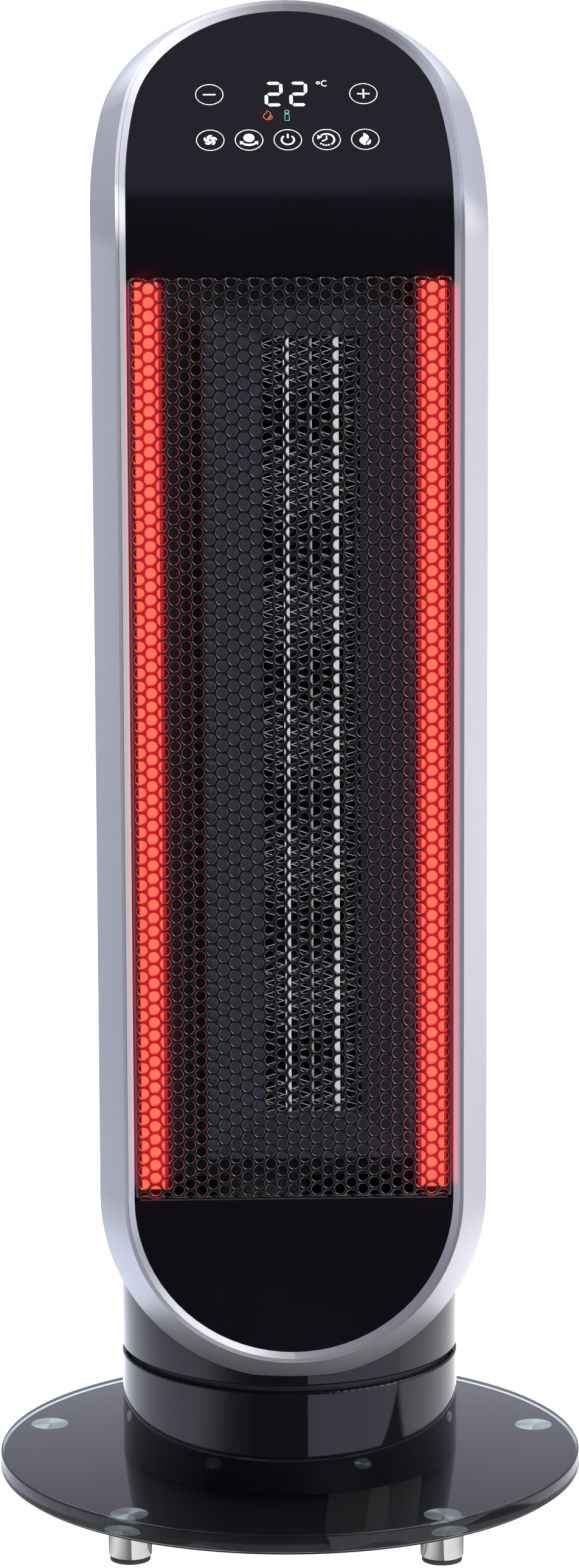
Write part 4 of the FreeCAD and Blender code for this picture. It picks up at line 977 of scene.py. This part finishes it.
near_card, shader = card_finish("near_card", 0.85)
near_y = (-0.465, 0.0)
near_place = mapped(near_card, parts_of(near_card, own_place(near_card))["Y"], near_y)
glow_by(near_card, shader, near_place, [(0.0, (0.36, 0.34, 0.45)), (0.235, (0.44, 0.42, 0.55)),
                                        (0.27, (0.96, 0.92, 1.2)), (1.0, (1.0, 0.95, 1.25))])
cornered_card("front_card", near_card,
              ((0.080, near_y[0]), (0.90, near_y[0]), (0.018, -0.135), (0.90, near_y[1])), 0.0016)

far_white, shader = card_finish("far_white", 1.15)
glow_by(far_white, shader, noise_of(far_white, 3.0), [(0.0, (0.97, 0.97, 0.97)), (1.0, (1.0, 1.0, 1.0))])
cornered_card("side_card", far_white, ((0.95, -0.9), (3.0, -0.9), (0.95, 1.4), (3.0, 1.4)), 0.0018)

# Painted shadow: a dimmer card round the plate, where the mirrored floor lies in its shade
under_shade_grey, shader = card_finish("under_shade_grey", 0.42)
glow_by(under_shade_grey, shader, noise_of(under_shade_grey, 3.0), [(0.0, (0.95, 0.95, 0.97)), (1.0, (1.0, 1.0, 1.0))])
round_card("under_card", under_shade_grey, 0.145, (0.0, -0.028, 0.0014), 96)

# Light and dark bands round the two front feet, as the chrome mirrors them
left_bands = [(0.0, 0.62), (0.07, 0.72), (0.15, 0.46), (0.225, 0.20), (0.258, 0.13), (0.264, 0.82),
              (0.44, 0.70), (0.49, 0.60), (0.50, 0.02), (0.52, 0.30), (0.60, 0.05), (0.72, 0.02),
              (0.84, 0.16), (1.0, 0.62)]
right_bands = [(0.0, 0.36), (0.02, 0.30), (0.03, 0.02), (0.04, 0.50), (0.10, 0.62), (0.17, 0.40),
               (0.225, 0.20), (0.258, 0.13), (0.264, 0.82), (0.42, 0.66), (0.56, 0.36), (0.74, 0.12),
               (0.88, 0.04), (1.0, 0.36)]
for foot_number, bands in ((2, left_bands), (3, right_bands)):
    x, y, z = foot_places[foot_number]
    banded, shader = card_finish("foot_bands", 1.0)
    around = add_node(banded, "ShaderNodeTexGradient", gradient_type="RADIAL")
    join_sockets(banded, own_place(banded, shift=(-x, -y, 0.0)), around.inputs["Vector"])
    glow_by(banded, shader, around.outputs["Fac"],
            [(turn, (grey, 0.97 * grey, 0.96 * grey)) for turn, grey in bands])
    round_card("foot_card_%d" % foot_number, banded, 0.060, (x, y, 0.0016))

panel("right_box", (1.6, 2.0), (1.48, -0.3, 1.5), (0.0, 0.0, 0.8), 0.9)
panel("left_box", (1.6, 2.4), (-1.5, -0.1, 1.2), (0.0, 0.0, 0.8), 0.12, (0.86, 0.93, 1.0))
panel("right_top_box", (1.0, 1.2), (1.3, -0.3, 2.4), (0.0, 0.0, 0.6), 1.0)
panel("left_top_box", (1.0, 1.2), (-1.3, -0.3, 2.4), (0.0, 0.0, 0.6), 0.8, (0.9, 0.95, 1.0))
panel("top_front_box", (1.6, 1.2), (1.4, -1.8, 3.4), (0.0, 0.0, 0.4), 2.0)
panel("key_box", (2.6, 2.0), (1.9, -1.7, 2.1), (0.0, 0.0, 0.35), 1.05, (0.97, 0.97, 1.0))
panel("back_box", (2.4, 1.2), (0.0, 1.5, 1.8), (0.0, 0.0, 0.5), 1.6, (0.94, 0.97, 1.0))
front_fill = panel("front_fill", (0.8, 0.8), (1.1, -2.05, 1.0), (0.0, 0.0, 0.4), 34.0)
front_fill.visible_glossy = False

world = bpy.data.worlds.new("studio")
bpy.context.scene.world = world
world.use_nodes = True
backdrop = world.node_tree.nodes["Background"]
toward = add_node(world, "ShaderNodeTexCoord")
depth = mapped(world, parts_of(world, toward.outputs["Generated"])["Y"], (-1.0, 1.0))
backdrop_color = ramped(world, depth, [
    (0.0, (0.05, 0.048, 0.07)), (0.30, (0.10, 0.095, 0.15)), (0.45, (0.27, 0.26, 0.37)),
    (0.55, (0.34, 0.32, 0.43)), (1.0, (0.60, 0.61, 0.73))])
join_sockets(world, backdrop_color, backdrop.inputs["Color"])

photo_size = (952, 2576)
focal_pixels = 9778.0
camera_place = (-0.0674, -2.4684, 0.8038)
camera_yaw = 1.587
camera_pitch = 11.248
camera_roll = -0.24
bpy.ops.object.camera_add(location=camera_place, rotation=(
    math.radians(90.0 - camera_pitch), 0.0, math.radians(-camera_yaw)))
camera = bpy.context.object
camera.rotation_euler.rotate_axis("Z", math.radians(camera_roll))
camera.data.sensor_fit = "VERTICAL"
camera.data.sensor_height = 36.0
camera.data.lens = focal_pixels * 36.0 / photo_size[1]
camera.data.clip_end = 100.0
bpy.context.scene.camera = camera
bpy.context.scene.view_settings.view_transform = "Standard"

# The red strips are far brighter than the rest, and the lens lets them bloom a little
bpy.context.scene.use_nodes = True
lens = bpy.context.scene.node_tree
lens.nodes.clear()
picture = lens.nodes.new("CompositorNodeRLayers")
bloom = lens.nodes.new("CompositorNodeGlare")
bloom.glare_type = "BLOOM"
bloom.inputs["Threshold"].default_value = 3.0
bloom.inputs["Strength"].default_value = 0.3
bloom.inputs["Size"].default_value = 0.05
shown = lens.nodes.new("CompositorNodeComposite")
lens.links.new(picture.outputs["Image"], bloom.inputs["Image"])
lens.links.new(bloom.outputs["Image"], shown.inputs["Image"])
